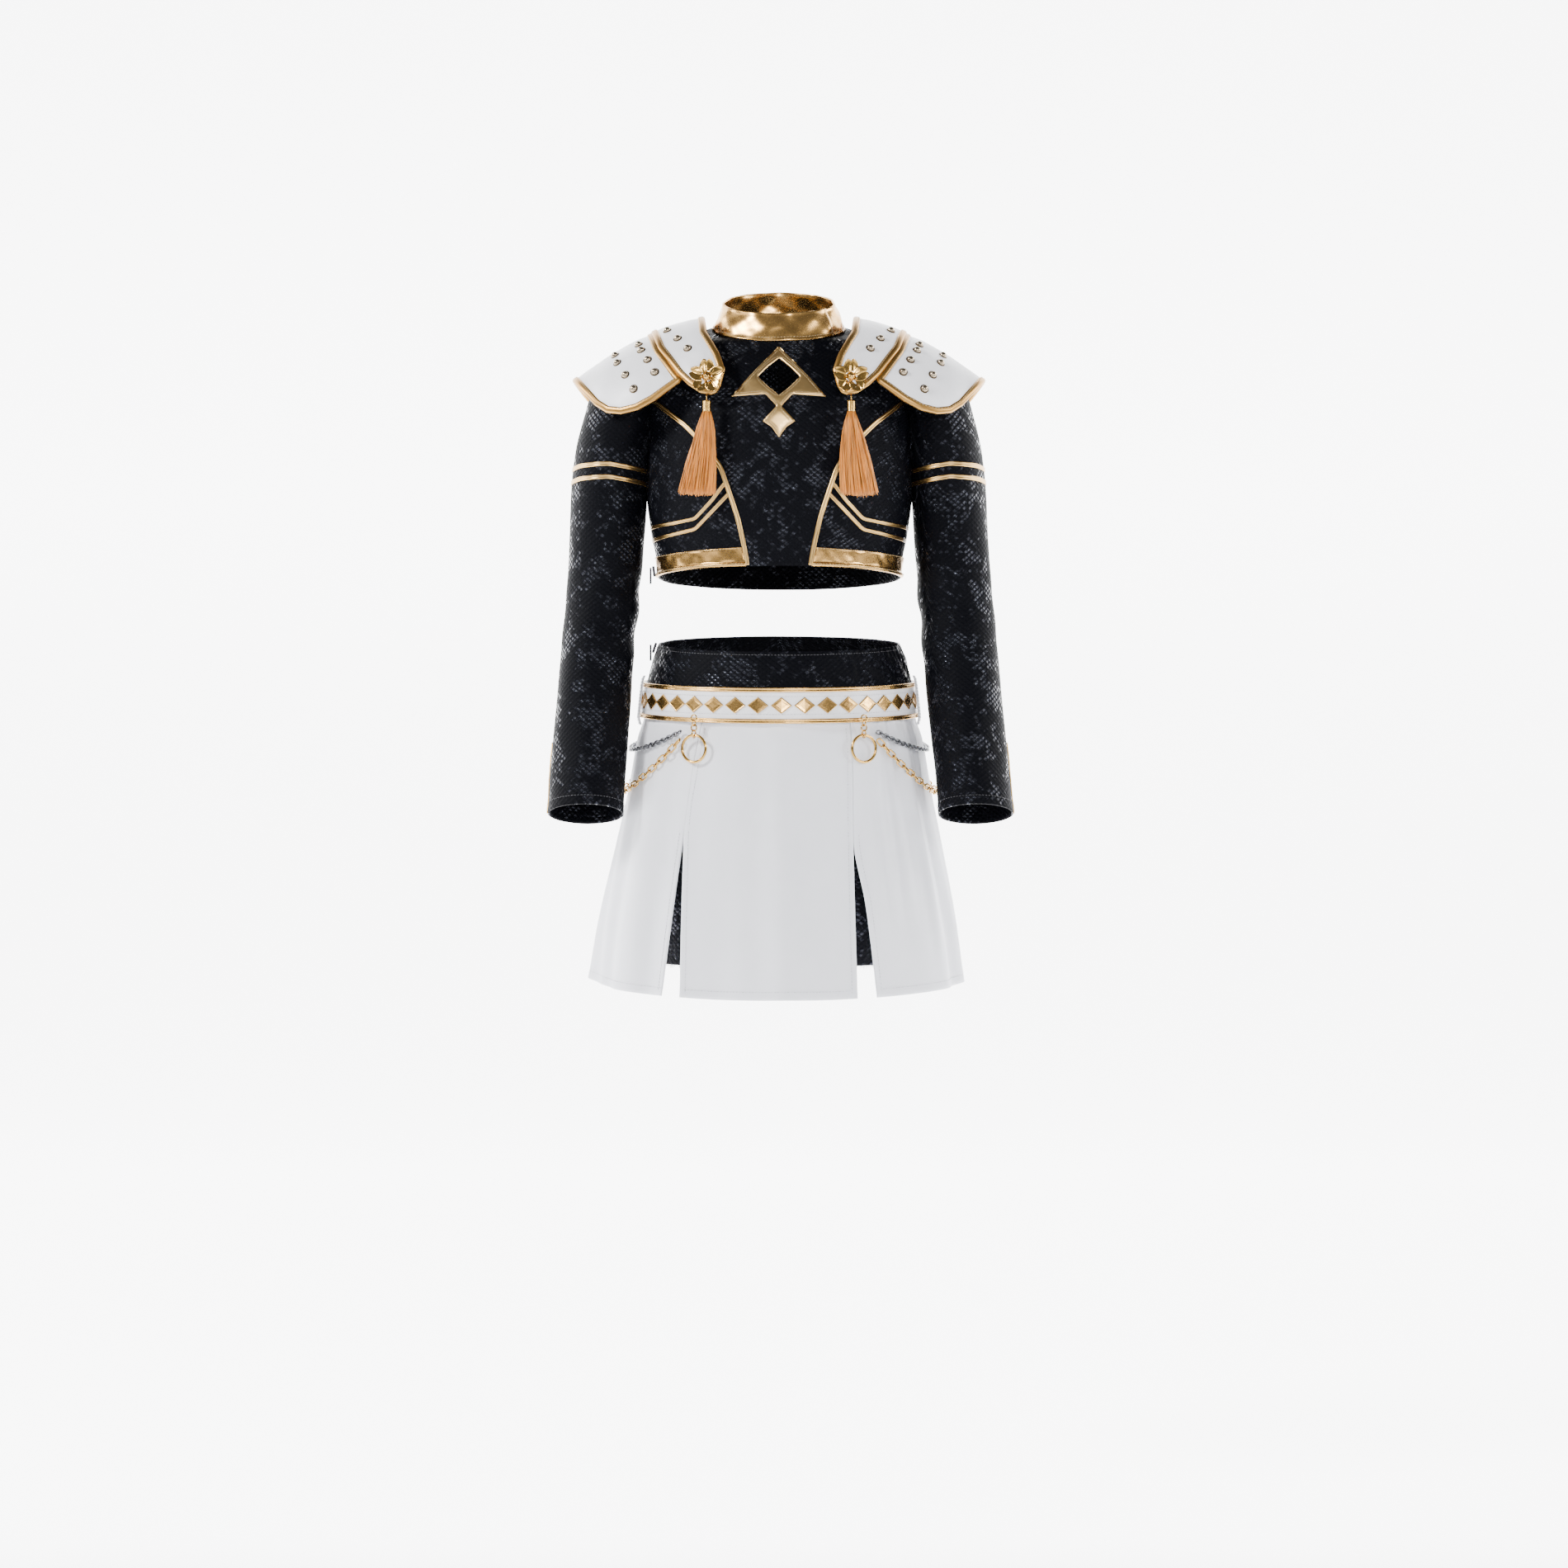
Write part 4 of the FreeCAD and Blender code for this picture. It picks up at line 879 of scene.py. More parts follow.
def make_motif(tree):
    """Padded gold applique round the keyhole, with a row of stitches inside its edges."""
    half = HALF_MOTIF
    outer = closed_path(half + [(-across, height) for across, height in half[-2:0:-1]])
    hole = closed_path(KEYHOLE)
    low, high = outer.min(0), outer.max(0)
    spots = np.meshgrid(*(np.arange(start, stop, 1.5) for start, stop in zip(low, high)))
    spots = np.stack(spots, -1).reshape(-1, 2)
    border = np.concatenate([outer, hole])
    gap = np.min(np.linalg.norm(spots[:, None] - border[None], axis=2), 1)
    spots = spots[inside_outline(spots, outer) & ~inside_outline(spots, hole) & (gap > 0.9)]
    flat = np.concatenate([border, spots])
    sizes = (len(outer), len(hole))
    edges = [(start + i, start + (i + 1) % count)
             for start, count in ((0, sizes[0]), (sizes[0], sizes[1])) for i in range(count)]
    points, _, faces, *_ = delaunay_2d_cdt([Vector(p) for p in flat], edges, [], 0, 1e-6)
    points = np.array([tuple(p) for p in points])
    centres = np.array([points[list(face)].mean(0) for face in faces])
    good = inside_outline(centres, outer) & ~inside_outline(centres, hole)
    faces = [list(face) for face, kept in zip(faces, good) if kept]
    gap = np.min(np.linalg.norm(points[:, None] - border[None], axis=2), 1)
    found = [cast_front(tree, across * MM, height * MM) for across, height in points]
    base = np.array([pair[0] for pair in found])
    normals = np.array([pair[1] for pair in found])
    puff = 0.5 + 0.75 * np.clip(gap / 1.6, 0, 1) - 0.3 * np.exp(-((gap - 2.4) / 0.7) ** 2)
    top = base + normals * puff[:, None] * MM
    count = len(points)
    sides = dict.fromkeys((start, stop) for face in faces
                          for start, stop in zip(face, face[1:] + face[:1]))
    walls = [[stop, start, start + count, stop + count]
             for start, stop in sides if (stop, start) not in sides]
    under = [[i + count for i in face[::-1]] for face in faces]
    mesh = Mesh()
    mesh.add(np.concatenate([top, base - normals * 0.2 * MM]), faces + under + walls,
             [tuple(p) for p in np.concatenate([points, points]) * MM])
    for loop, distance in ((outer, 2.4), (hole, -2.4)):
        path = inward(loop, distance)
        for _ in range(8):
            path = (np.roll(path, 1, 0) + path + np.roll(path, -1, 0)) / 3
        line, facing = on_front(tree, closed(path))
        add_stitches(mesh, line + facing * 0.95 * MM, facing, 1, pitch=2.4, length=1.8)
    settle(mesh.build("motif_applique", [APPLIQUE, GOLD_STITCH]), "chest_motif", slot="gold_trim")


# ---------------------------------------------------------------- sleeves

def sleeve_lift(side, s, turn):
    """Soft wrinkles: creases at the armpit and elbow, and a slow drape down the arm."""
    inner = 0.5 - 0.5 * np.cos(turn)
    drape = waves(turn, s, [(2, 9, 0.4 + side, 0.5), (3, -13, 1.3, 0.4), (5, 19, 2.2, 0.18)])
    elbow = np.exp(-((s - 0.58) / 0.09) ** 2) * (0.35 + inner)
    pit = np.exp(-((s - 0.27) / 0.07) ** 2) * inner
    creases = 0.9 * np.sin(62 * s + 1.5 * np.cos(turn) + side) * (elbow + pit) * MM
    return (drape + creases) * np.clip((s - 0.12) / 0.12, 0, 1) * np.clip((1.02 - s) / 0.1, 0.3, 1)


# Heights in metres that the sleeve pieces hand to settle as their blend, and the sleeve's length.
SLEEVE_BEND = ((0, 0, 0.185), (0, 0, 0.105))
SLEEVE_LENGTH = 0.42


def make_sleeves():
    for side in (LEFT, RIGHT):
        hand = HAND[side]
        round_arm = np.linspace(-math.pi, math.pi, 97)
        turns = round_arm[:-1]
        # the cloth of each turn starts where it comes out of the torso
        fine = np.linspace(1, 0, 400)
        starts = []
        for turn in turns:
            line = sleeve_point(side, fine, np.full(len(fine), turn))
            buried = inside_torso(line, 3.0) & (line[:, 2] > 0.172)
            starts.append(fine[np.argmax(buried) if buried.any() else -1])
        starts = np.array(starts)
        for _ in range(2):
            starts = (np.roll(starts, 1) + 2 * starts + np.roll(starts, -1)) / 4
        rows = 170
        share = np.linspace(0, 1, rows)[:, None]
        s = starts[None, :] + (1 - starts[None, :]) * share
        turn = np.broadcast_to(turns[None, :], s.shape)
        base = sleeve_point(side, s, turn)
        normals = normals_of(base, wrap=True) * side
        middle = base.mean(1, keepdims=True)
        if np.mean(np.sum(normals * (base - middle), -1)) < 0:
            normals = -normals
        rise = (1 - s) * SLEEVE_LENGTH / MM
        hem = 0.35 * MM * (rise < 8.6)
        outer = base + normals * (sleeve_lift(side, s, turn) + hem)[..., None]
        inner = outer - normals * CLOTH_WALL * MM
        uv = np.stack([np.broadcast_to(round_arm[None, :] * 0.034, (rows, len(round_arm))),
                       np.concatenate([s, s[:, :1]], 1) * SLEEVE_LENGTH], -1)
        mesh = Mesh()
        # columns run so that the faces look outward on both arms
        flip = slice(None, None, -1) if side == LEFT else slice(None)
        add_sheet(mesh, outer[:, flip], inner[:, flip], wrap=True, uv=uv)
        ring = np.full(len(round_arm), 1 - 8 / (SLEEVE_LENGTH / MM))
        line = sleeve_point(side, ring, round_arm)
        facing = unit(line - line[:-1].mean(0)) * np.array([1, 1, 0])
        add_stitches(mesh, line + facing * 0.75 * MM, unit(facing), 1)
        made = mesh.build(f"sleeve_cloth_{hand}", [FABRIC, DARK_STITCH])
        settle(made, f"sleeve_{hand}", f"sleeve_cap_{hand}", slot="scale_fabric",
               blend=("top", BODY_OF[f"sleeve_{hand}"], *SLEEVE_BEND))
        make_sleeve_trims(side, mesh.tree())


def cast_arm(tree, side, height, turn):
    """Point and normal on the sleeve met on the way in to the arm's middle."""
    fine = np.linspace(0, 1, 300)
    x, y, z, *_ = sleeve_ring(side, fine)
    at = np.interp(-height, -z, fine)
    middle = np.array([side * np.interp(at, fine, x), np.interp(at, fine, y), height])
    out = np.array([side * math.cos(turn), -math.sin(turn), 0.0])
    start = middle + out * 0.08
    hit, normal, _, _ = tree.ray_cast(Vector(start), Vector(-out))
    if hit is None:
        return None
    normal = np.array(normal)
    return np.array(hit), normal if normal @ out > 0 else -normal


def smooth_rows(values):
    for _ in range(3):
        values[1:-1] = (values[:-2] + 2 * values[1:-1] + values[2:]) / 4
    return values


def make_sleeve_trims(side, tree):
    hand = HAND[side]
    line = np.array(SLEEVE_BAND, float) * MM
    mesh = Mesh()
    for level in (0, 1):
        points, normals = [], []
        for turn in np.linspace(-3.0, 3.0, 150):
            height = 0.15
            for _ in range(3):
                found = cast_arm(tree, side, height, turn)
                height = np.interp(abs(found[0][0]), line[:, 0], line[:, 1]) - level * 0.011
            if not inside_torso(found[0], -0.4):
                points.append(found[0])
                normals.append(found[1])
        points, normals = smooth_rows(np.array(points)), unit(smooth_rows(np.array(normals)))
        add_ribbon(mesh, points, normals, 2.0 * MM, 1.05 * MM, DOUBLE_RIDGE, ripple=0.1, seed=6)
    settle(mesh.build(f"sleeve_gold_{hand}", [TRIM]), f"sleeve_bands_{hand}", slot="gold_trim",
           blend=("top", BODY_OF[f"sleeve_{hand}"], *SLEEVE_BEND))
    points, normals = [], []
    for height in np.linspace(-0.087, -0.1475, 40):
        found = cast_arm(tree, side, height, 0.02)
        if found:
            points.append(found[0])
            normals.append(found[1])
    mesh = Mesh()
    add_ribbon(mesh, smooth_rows(np.array(points)), unit(smooth_rows(np.array(normals))),
               1.3 * MM, 1.1 * MM, ROUND_PIPING, ripple=0.15, seed=7)
    settle(mesh.build(f"cuff_gold_{hand}", [TRIM]), f"cuff_piping_{hand}", slot="gold_trim")


# ---------------------------------------------------------------- shoulder plates

def plate_point(x, turn):
    """Point of the shoulder plates' surface, turn 0 on the ridge and growing to the front."""
    table = np.array(PLATE_RINGS, float) * MM
    top = hermite(table[:, 0], table[:, 1], x) - PLATE_CENTRE * MM
    deep = hermite(table[:, 0], table[:, 2], x)
    return np.stack([x, -deep * np.sin(turn), PLATE_CENTRE * MM + top * np.cos(turn)], -1)


def plate_edge(edge, turn):
    """Distance from the middle where the edge line crosses each turn of the surface."""
    heights, across = np.array(edge, float).T * MM
    x = np.full_like(turn, across[0])
    for _ in range(40):
        height = plate_point(x, turn)[..., 2]
        x = 0.5 * x + 0.5 * np.interp(height, heights, across)
    return x


def make_plates():
    for side in (LEFT, RIGHT):
        hand = HAND[side]
        trees, bindings = [], Mesh()
        for name, lift in (("inner", 1.7), ("outer", 0.0)):
            inner_edge, outer_edge = PLATE_EDGES[name]
            tip_x, tip_z = inner_edge[0][1] * MM, inner_edge[0][0] * MM
            crest = plate_point(np.array(tip_x), np.array(0.0))[2] - PLATE_CENTRE * MM
            tip = math.acos((tip_z - PLATE_CENTRE * MM) / crest)
            turn = tip * np.sin(np.linspace(-math.pi / 2, math.pi / 2, 111))
            turn[0], turn[-1] = -tip * 0.9999, tip * 0.9999
            near, far = plate_edge(inner_edge, turn), plate_edge(outer_edge, turn)
            share = np.linspace(0, 1, 40)[None, :]
            across = near[:, None] * (1 - share) + far[:, None] * share
            turns = np.broadcast_to(turn[:, None], across.shape)
            base = plate_point(across, turns)
            normals = normals_of(base)
            away = base - np.array([0.1, 0, PLATE_CENTRE * MM])
            normals *= np.sign(np.sum(normals * away))
            width = (far - near)[:, None] * np.minimum(share, 1 - share)
            puff = 1.0 * MM * np.clip(width / (12 * MM), 0, 1)
            outer = base + normals * (lift * MM + puff)[..., None]
            inner = base + normals * (lift - 2.6) * MM
            for grid in (outer, inner, normals):
                grid[..., 0] *= side
            flip = slice(None, None, -1) if side == LEFT else slice(None)
            mesh = Mesh()
            add_sheet(mesh, outer[:, flip], inner[:, flip], back_kind=1)
            made = mesh.build(f"plate_leather_{name}_{hand}", [LEATHER, LINING])
            settle(made, f"shoulder_plate_{name}_{hand}", slot="white_leather")
            trees.append(mesh.tree())
            add_binding(bindings, base, normals, lift, side)
        settle(bindings.build(f"plate_gold_{hand}", [BINDING, GOLD_STITCH]),
               f"plate_bindings_{hand}", slot="gold_trim")
        make_studs(side, trees)
        make_flower(side)


def add_binding(mesh, base, normals, lift, side):
    """Leather folded over a plate's edge all the way round, with stitches along it."""
    base = base.copy()
    base[..., 0] *= side
    first, last = base[:, 0], base[:, -1]
    path = np.concatenate([first, last[::-1]])
    facing = np.concatenate([normals[:, 0], normals[::-1, -1]])
    centre = np.concatenate([base[:, 20] - first, (base[:, 19] - last)[::-1]])
    steps = np.concatenate([[True], np.linalg.norm(np.diff(path, axis=0), axis=1) > 0.25 * MM])
    path, facing, centre = path[steps], facing[steps], centre[steps]
    tangents = unit(np.roll(path, -1, 0) - np.roll(path, 1, 0))
    into = np.cross(facing, tangents)
    into = unit(into * np.sign(np.sum(into * centre, -1, keepdims=True)))
    for _ in range(2):
        into = unit(np.roll(into, 1, 0) + 2 * into + np.roll(into, -1, 0))
    mid = lift - 0.9
    section = [(-1.3, 0), (-1.1, 1.2), (-0.2, 2.1), (1.4, 2.6), (3.4, 2.5), (4.6, 2.0), (4.8, 1.4),
               (4.8, -1.4), (4.4, -2.2), (1.5, -2.4), (-0.2, -1.9), (-1.1, -1.1)]
    count, width = len(path), len(section)
    points = np.stack([path + into * reach * MM + facing * (mid + rise) * MM
                       for reach, rise in section], 1)
    along = distances(path)
    rounds = np.cumsum([0] + [math.dist(a, b) for a, b in zip(section, section[1:])]) * MM
    uvs = [(along[r], rounds[c]) for r in range(count) for c in range(width)]
    mesh.add(points, tube_faces(count, width, joined=True, flipped=True), uvs)
    line = path + into * 3.5 * MM + facing * (mid + 2.35) * MM
    add_stitches(mesh, line, facing, 1, pitch=3.0)


def make_studs(side, trees):
    """Domed studs whose flat rim carries a painted dark reflection, on whichever plate lies
    uppermost.
    """
    mesh = Mesh()
    rim = [(3.9, -1.2), (4.05, 0.1), (3.85, 0.5), (3.2, 0.6), (2.7, 0.4)]
    dome = [(3.1, -0.6), (3.15, 0.8), (3.0, 1.5), (2.6, 2.2), (1.9, 2.9), (1.0, 3.3), (0.0, 3.4)]
    for across, height in STUDS:
        found = [cast_front(tree, side * across * MM, height * MM) for tree in trees]
        found = [pair for pair in found if pair]
        point, normal = min(found, key=lambda pair: pair[0][1])
        # the rim gets the dark metal: painted dark reflection
        add_lathe(mesh, point, normal, rim, 22, kind=1)
        add_lathe(mesh, point, normal, dome, 22)
    settle(mesh.build(f"stud_domes_{HAND[side]}", [SILVER, STUD_RIM_PAINTED_REFLECTION]), f"studs_{HAND[side]}",
           slot="silver_metal")


def make_flower(side):
    """Brooch: five cupped petals, a ring of small beads and a domed heart."""
    hand = HAND[side]
    low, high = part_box(f"flower_{hand}")
    height = 0.223
    centre = np.array([(low.x + high.x) / 2, low.y + 3.2 * MM, height])
    facing = unit(np.array([side * 0.12, -1, 0.18]))
    right = unit(np.cross(facing, (0, 0, 1.0)))
    up = np.cross(right, facing)
    mesh = Mesh()
    rows, columns = 15, 17
    for number in range(5):
        turn = math.radians(90 + 72 * number)
        axis = right * math.cos(turn) + up * math.sin(turn)
        cross = -right * math.sin(turn) + up * math.cos(turn)
        share = np.linspace(0.1, 1, rows)[:, None]
        spread = np.linspace(-1, 1, columns)[None, :]
        bulge = np.sin(np.clip(share * 1.02, 0, 1) ** 0.85 * math.pi * 0.93) ** 0.62
        width = 7.5 * bulge * share ** 0.25
        reach = 15.0 * share - 1.4 * np.exp(-(spread / 0.28) ** 2) * share ** 6
        x, y = reach * np.cos(spread * 0.1), width * spread
        cup = 2.6 * share ** 1.6 + 1.5 * (spread ** 2) * share - 0.8 * np.exp(-(spread / 0.16) ** 2)
        outer = (centre + axis * (x * MM)[..., None] + cross * (y * MM)[..., None]
                 + facing * ((cup - 0.8) * MM)[..., None])
        add_sheet(mesh, outer, outer - facing * 0.7 * MM)
    bead = [(0.6, -1.4), (0.85, 0), (0.75, 0.5), (0.4, 0.85), (0, 0.95)]
    heart = [(3.4, -2), (3.6, 0), (3.3, 0.6), (2.9, 0.8), (2.8, 1.4), (2.4, 2.2), (1.6, 2.9),
             (0.7, 3.2), (0, 3.3)]
    for number in range(10):
        turn = math.radians(36 * number)
        away = right * math.cos(turn) + up * math.sin(turn)
        add_lathe(mesh, centre + away * 4.4 * MM + facing * 1.2 * MM, facing, bead, 10,
                  kind=number % 2)
    add_lathe(mesh, centre + facing * 0.6 * MM, facing, heart, 26)
    settle(mesh.build(f"flower_metal_{hand}", [GOLD, CRYSTAL]), f"flower_{hand}", slot="gold_metal")


def make_tassels():
    down = np.array([0, -math.sin(TASSEL_LEAN), -math.cos(TASSEL_LEAN)])
    ahead = np.array([0, -math.cos(TASSEL_LEAN), math.sin(TASSEL_LEAN)])
    for side in (LEFT, RIGHT):
        hand = HAND[side]
        hook = np.array(TASSEL_HOOK) * MM * np.array([side, 1, 1])
        random = np.random.default_rng(20 + side)
        mesh = Mesh()
        turns = np.linspace(0, 2 * math.pi, 25)[:-1]
        loop = [hook + down * 2.9 * MM + (down * -math.cos(a) + ahead * math.sin(a)) * 2.2 * MM
                for a in turns]
        add_tube(mesh, loop + loop[:1], 0.6 * MM, 8)
        profile = [(1.6, 5.2), (3.0, 5.4)]
        for coil in range(12):
            start = 5.7 + coil * 0.75
            profile += [(3.35, start), (3.75, start + 0.3), (3.4, start + 0.65)]
        profile += [(2.9, 14.9), (1.6, 15.1)]
        add_lathe(mesh, hook, down, profile, 24)
        settle(mesh.build(f"tassel_winding_{hand}", [GOLD]), f"tassel_cap_{hand}",
               slot="gold_metal")
        mesh = Mesh()
        steps = np.linspace(0, 1, 9)
        flare = np.interp(steps, [0, 0.08, 0.25, 0.6, 1], [0.17, 0.3, 0.52, 0.82, 1])
        deep = np.interp(steps, [0, 0.1, 1], [2.6, 3.6, 4.3])
        for _ in range(230):
            angle = random.uniform(0, 2 * math.pi)
            radius = math.sqrt(random.uniform(0.02, 1))
            spread, thick = radius * math.cos(angle), radius * math.sin(angle)
            length = 71 * (1 + random.normal() * 0.012 - 0.015 * abs(spread))
            phase, sway = random.uniform(0, 6.28), random.normal() * 0.5
            x = (16.5 * spread * flare + TASSEL_SWAY[side] * steps ** 1.3
                 + sway * np.sin(5 * steps + phase))
            y = thick * deep + 0.4 * np.sin(7 * steps + phase)
            path = (hook + down * ((14.2 + steps * length) * MM)[:, None]
                    + np.array([1, 0, 0]) * (x * MM)[:, None] + ahead * (y * MM)[:, None])
            add_tube(mesh, path, np.interp(steps, [0, 0.9, 1], [0.42, 0.42, 0.2]) * MM, 4)
        settle(mesh.build(f"tassel_threads_{hand}", [GOLD_THREAD]), f"tassel_fringe_{hand}",
               slot="gold_thread")


# ---------------------------------------------------------------- skirt

SKIRT = Rings("skirt")


def skirt_lift(angle, s):
    """Folds that grow towards the hem, with close gathers under the belt on the left."""
    down = np.clip(1 - s, 0, 1)
    hang = waves(angle, s, [(7, 1.5, 0.8, 1.5), (13, -2.0, 2.1, 1.3), (19, 1.2, 0.3, 0.8),
                            (29, 0.8, 1.0, 0.35)]) * down ** 0.8 * 1.7
    gather = np.exp(-((angle - 0.95) / 0.36) ** 4)
    pleats = waves(angle, s, [(44, 1.5, 0.5, 0.9), (61, -2.5, 2.0, 0.6)]) * gather
    pleats = pleats * np.clip(s * 4 - 0.4, 0, 1) * np.clip((1 - s) * 12, 0.15, 1)
    creep = waves(angle, s, [(24, 2.0, 0.4, 1.5)]) * gather * np.sin(np.clip(s, 0, 1) * math.pi)
    return hang + pleats + creep


def hemmed(angle, s):
    """Skirt folds plus the second layer of cloth in the turned-up hem."""
    return skirt_lift(angle, s) + 0.3 * MM * (s * SKIRT.length < 6.6 * MM)


def stitch_grid(mesh, outer, normals, row=None, column=None, start=0, stop=None):
    """Stitches along part of one row or one column of a grid."""
    part = (slice(start, stop), column) if row is None else (row, slice(start, stop))
    add_stitches(mesh, outer[part], normals[part], 1)


def make_skirt():
    levels = SKIRT.levels(0, 1, 2.2)
    hem_row = int(round(6.0 * MM / SKIRT.length * (len(levels) - 1)))
    right_edge, left_edge = (SKIRT.edge(levels, SKIRT_FRONT[side]) for side in (RIGHT, LEFT))
    apex = int(np.argmax(SKIRT.point(levels, left_edge)[:, 2] > -0.168))
    shrink = 0.25 * MM / SKIRT.ring(levels)[1]
    mesh = Mesh()
    columns = 96
    outer, normals = make_panel(mesh, SKIRT, levels, right_edge + shrink, left_edge - shrink,
                                columns, hemmed)
    stitch_grid(mesh, outer, normals, row=hem_row, start=2, stop=-2)
    for column in (3, columns - 4):
        stitch_grid(mesh, outer, normals, column=column, start=2, stop=apex + 4)
        stitch_grid(mesh, outer, normals, column=column, start=apex + 4, stop=len(levels) - 14)
    front = mesh.build("skirt_front_cloth", [WHITE, WHITE_STITCH])
    settle(front, "skirt_flap", "skirt_yoke", slot="white_fabric",
           blend=("skirt", "front_flap", (0, 0, -0.150), (0, 0, -0.190)))
    for side in (LEFT, RIGHT):
        edge = SKIRT.edge(levels, SKIRT_SIDE[side])
        seam = np.full(len(levels), side * math.pi / 2)
        mesh = Mesh()
        ends = (edge + shrink, seam) if side == LEFT else (seam, edge - shrink)
        outer, normals = make_panel(mesh, SKIRT, levels, *ends, 90, hemmed)
        stitch_grid(mesh, outer, normals, row=hem_row, start=2)
        stitch_grid(mesh, outer, normals, column=3 if side == LEFT else 86, start=2, stop=apex + 2)
        made = mesh.build(f"skirt_side_cloth_{HAND[side]}", [WHITE, WHITE_STITCH])
        settle(made, f"skirt_side_{HAND[side]}", slot="white_fabric")
    mesh = Mesh()
    quarter = np.full(len(levels), math.pi / 2)
    outer, normals = make_panel(mesh, SKIRT, levels, quarter, 3 * quarter, 190, hemmed)
    stitch_grid(mesh, outer, normals, row=hem_row)
    made = mesh.build("skirt_back_cloth", [WHITE, WHITE_STITCH])
    settle(made, "skirt_back", slot="white_fabric")


def make_waistband():
    """Waistband, puckered by its elastic on the wearer's left and smooth elsewhere."""
    rings = Rings("waistband")

    def lift(angle, s):
        elastic = np.exp(-((angle - 1.15) / 0.55) ** 4)
        pucker = waves(angle, s, [(82, 3, 0.5, 0.55), (57, -6, 1.9, 0.45)]) * elastic
        calm = waves(angle, s, [(7, 3, 0.5, 0.3), (13, -5, 1.2, 0.2)])
        return (pucker + calm) * np.clip((1.05 - s) * 3, 0.4, 1)

    mesh = Mesh()
    outer, normals = closed_band(rings, rings.levels(0, 1, 1.2), 520, lift, 1.6, mesh)
    stitch_round(mesh, outer, normals, len(outer) - 4)
    settle(mesh.build("waistband_cloth", [FABRIC, DARK_STITCH]), "waistband", slot="scale_fabric")


# Half width and half depth of the belt's outer face, in mm, and the number of its diamonds.
BELT_WIDE, BELT_DEEP = 118, 93
DIAMONDS = 38


def make_belt():
    """Leather belt with doubled gold edges, foil diamonds and two leather loops."""
    rings = Rings("belt")

    def rims(angle, s):
        return 0.25 * MM * np.sin(np.clip(s, 0, 1) * math.pi) + 0 * angle

    mesh = Mesh()
    outer, normals = closed_band(rings, rings.levels(0, 1, 1.5), 260, rims, 2.6, mesh)
    for row in (5, len(outer) - 6):
        stitch_round(mesh, outer, normals, row, pitch=2.6)
    settle(mesh.build("belt_leather", [LEATHER, WHITE_STITCH]), "belt", slot="white_leather")
    mesh = Mesh()
    for s in (0.06, 0.94):
        angle = np.linspace(-math.pi, math.pi, 361)[:-1]
        path = rings.point(np.full(len(angle), s), angle)
        facing = unit(path * np.array([1 / BELT_WIDE ** 2, 1 / BELT_DEEP ** 2, 0]))
        add_ribbon(mesh, path + facing * 0.2 * MM, facing, 2.0 * MM, 1.5 * MM, DOUBLE_RIDGE,
                   joined=True, ripple=0.1, seed=9)
    settle(mesh.build("belt_gold_edges", [BELT_FOIL]), "belt_pipings", slot="gold_trim")
    make_belt_diamonds(rings)
    make_belt_loops(rings)


def make_belt_diamonds(rings):
    """Faceted foil diamonds with a raised border, all round the belt."""
    mesh = Mesh()
    corners = [(9.1, 0), (0, 7.2), (-9.1, 0), (0, -7.2)]
    # each step inwards: share of the diamond's size, and height over the leather in mm
    steps = [(1.0, 0.0), (0.99, 0.65), (0.9, 0.9), (0.82, 0.72), (0.5, 0.78)]
    faces = tube_faces(len(steps), 4)
    under, top = faces.pop(-2), faces.pop()
    faces += [[start, stop, top[-1] + 1] for start, stop in zip(top, top[1:] + top[:1])] + [under]
    for number in range(DIAMONDS):
        middle = 2 * math.pi * number / DIAMONDS + math.radians(1)
        base = rings.point(np.array([0.5, 0.5, 0.5]), middle + np.array([-0.02, 0, 0.02]))
        run = unit(base[2] - base[0])
        rise = unit(rings.point(np.array([0.6]), np.array([middle]))[0]
                    - rings.point(np.array([0.4]), np.array([middle]))[0])
        facing = unit(np.cross(run, rise))
        centre = base[1] + facing * 0.6 * MM
        points = [centre + run * x * share * MM + rise * y * share * MM
                  + facing * (lift - 0.0043 * (x * share) ** 2) * MM
                  for share, lift in steps for x, y in corners]
        points.append(centre + facing * 0.75 * MM)
        shift = number * 0.018
        uvs = [(x * share * MM + shift, y * share * MM) for share, _ in steps for x, y in corners]
        mesh.add(points, faces, uvs + [(shift, 0.0)])
    settle(mesh.build("belt_foil_diamonds", [BELT_FOIL], smooth=False), "belt_diamonds",
           slot="gold_metal")


def make_belt_loops(rings):
    """Stitched leather straps over the belt at the wearer's sides."""
    mesh = Mesh()
    levels = np.linspace(-0.22, 1.2, 30)
    on_belt = np.clip(levels, 0, 1)
    away = np.interp(levels, [-0.22, -0.1, 0.02, 0.98, 1.1, 1.2], [0.4, 1.6, 2.3, 2.3, 1.6, 0.4])
    for side in (LEFT, RIGHT):
        middle = side * math.radians(80)
        path = rings.point(on_belt, np.full(len(levels), middle))
        path[:, 2] += (levels - on_belt) * rings.length
        out = unit(np.array([math.sin(middle) / BELT_WIDE, -math.cos(middle) / BELT_DEEP, 0]))
        path = path + out * (away * MM)[:, None]
        facing = np.repeat(out[None], len(levels), 0)
        add_ribbon(mesh, path, facing, 4.0 * MM, 0.8 * MM, FLAT_STRAP)
        for shift in (-2.9, 2.9):
            line = path + np.cross(out, (0, 0, 1.0)) * shift * MM + out * 0.75 * MM
            add_stitches(mesh, line, facing, 1)
    settle(mesh.build("belt_loop_straps", [LEATHER, WHITE_STITCH]), "belt_loops",
           slot="white_leather")


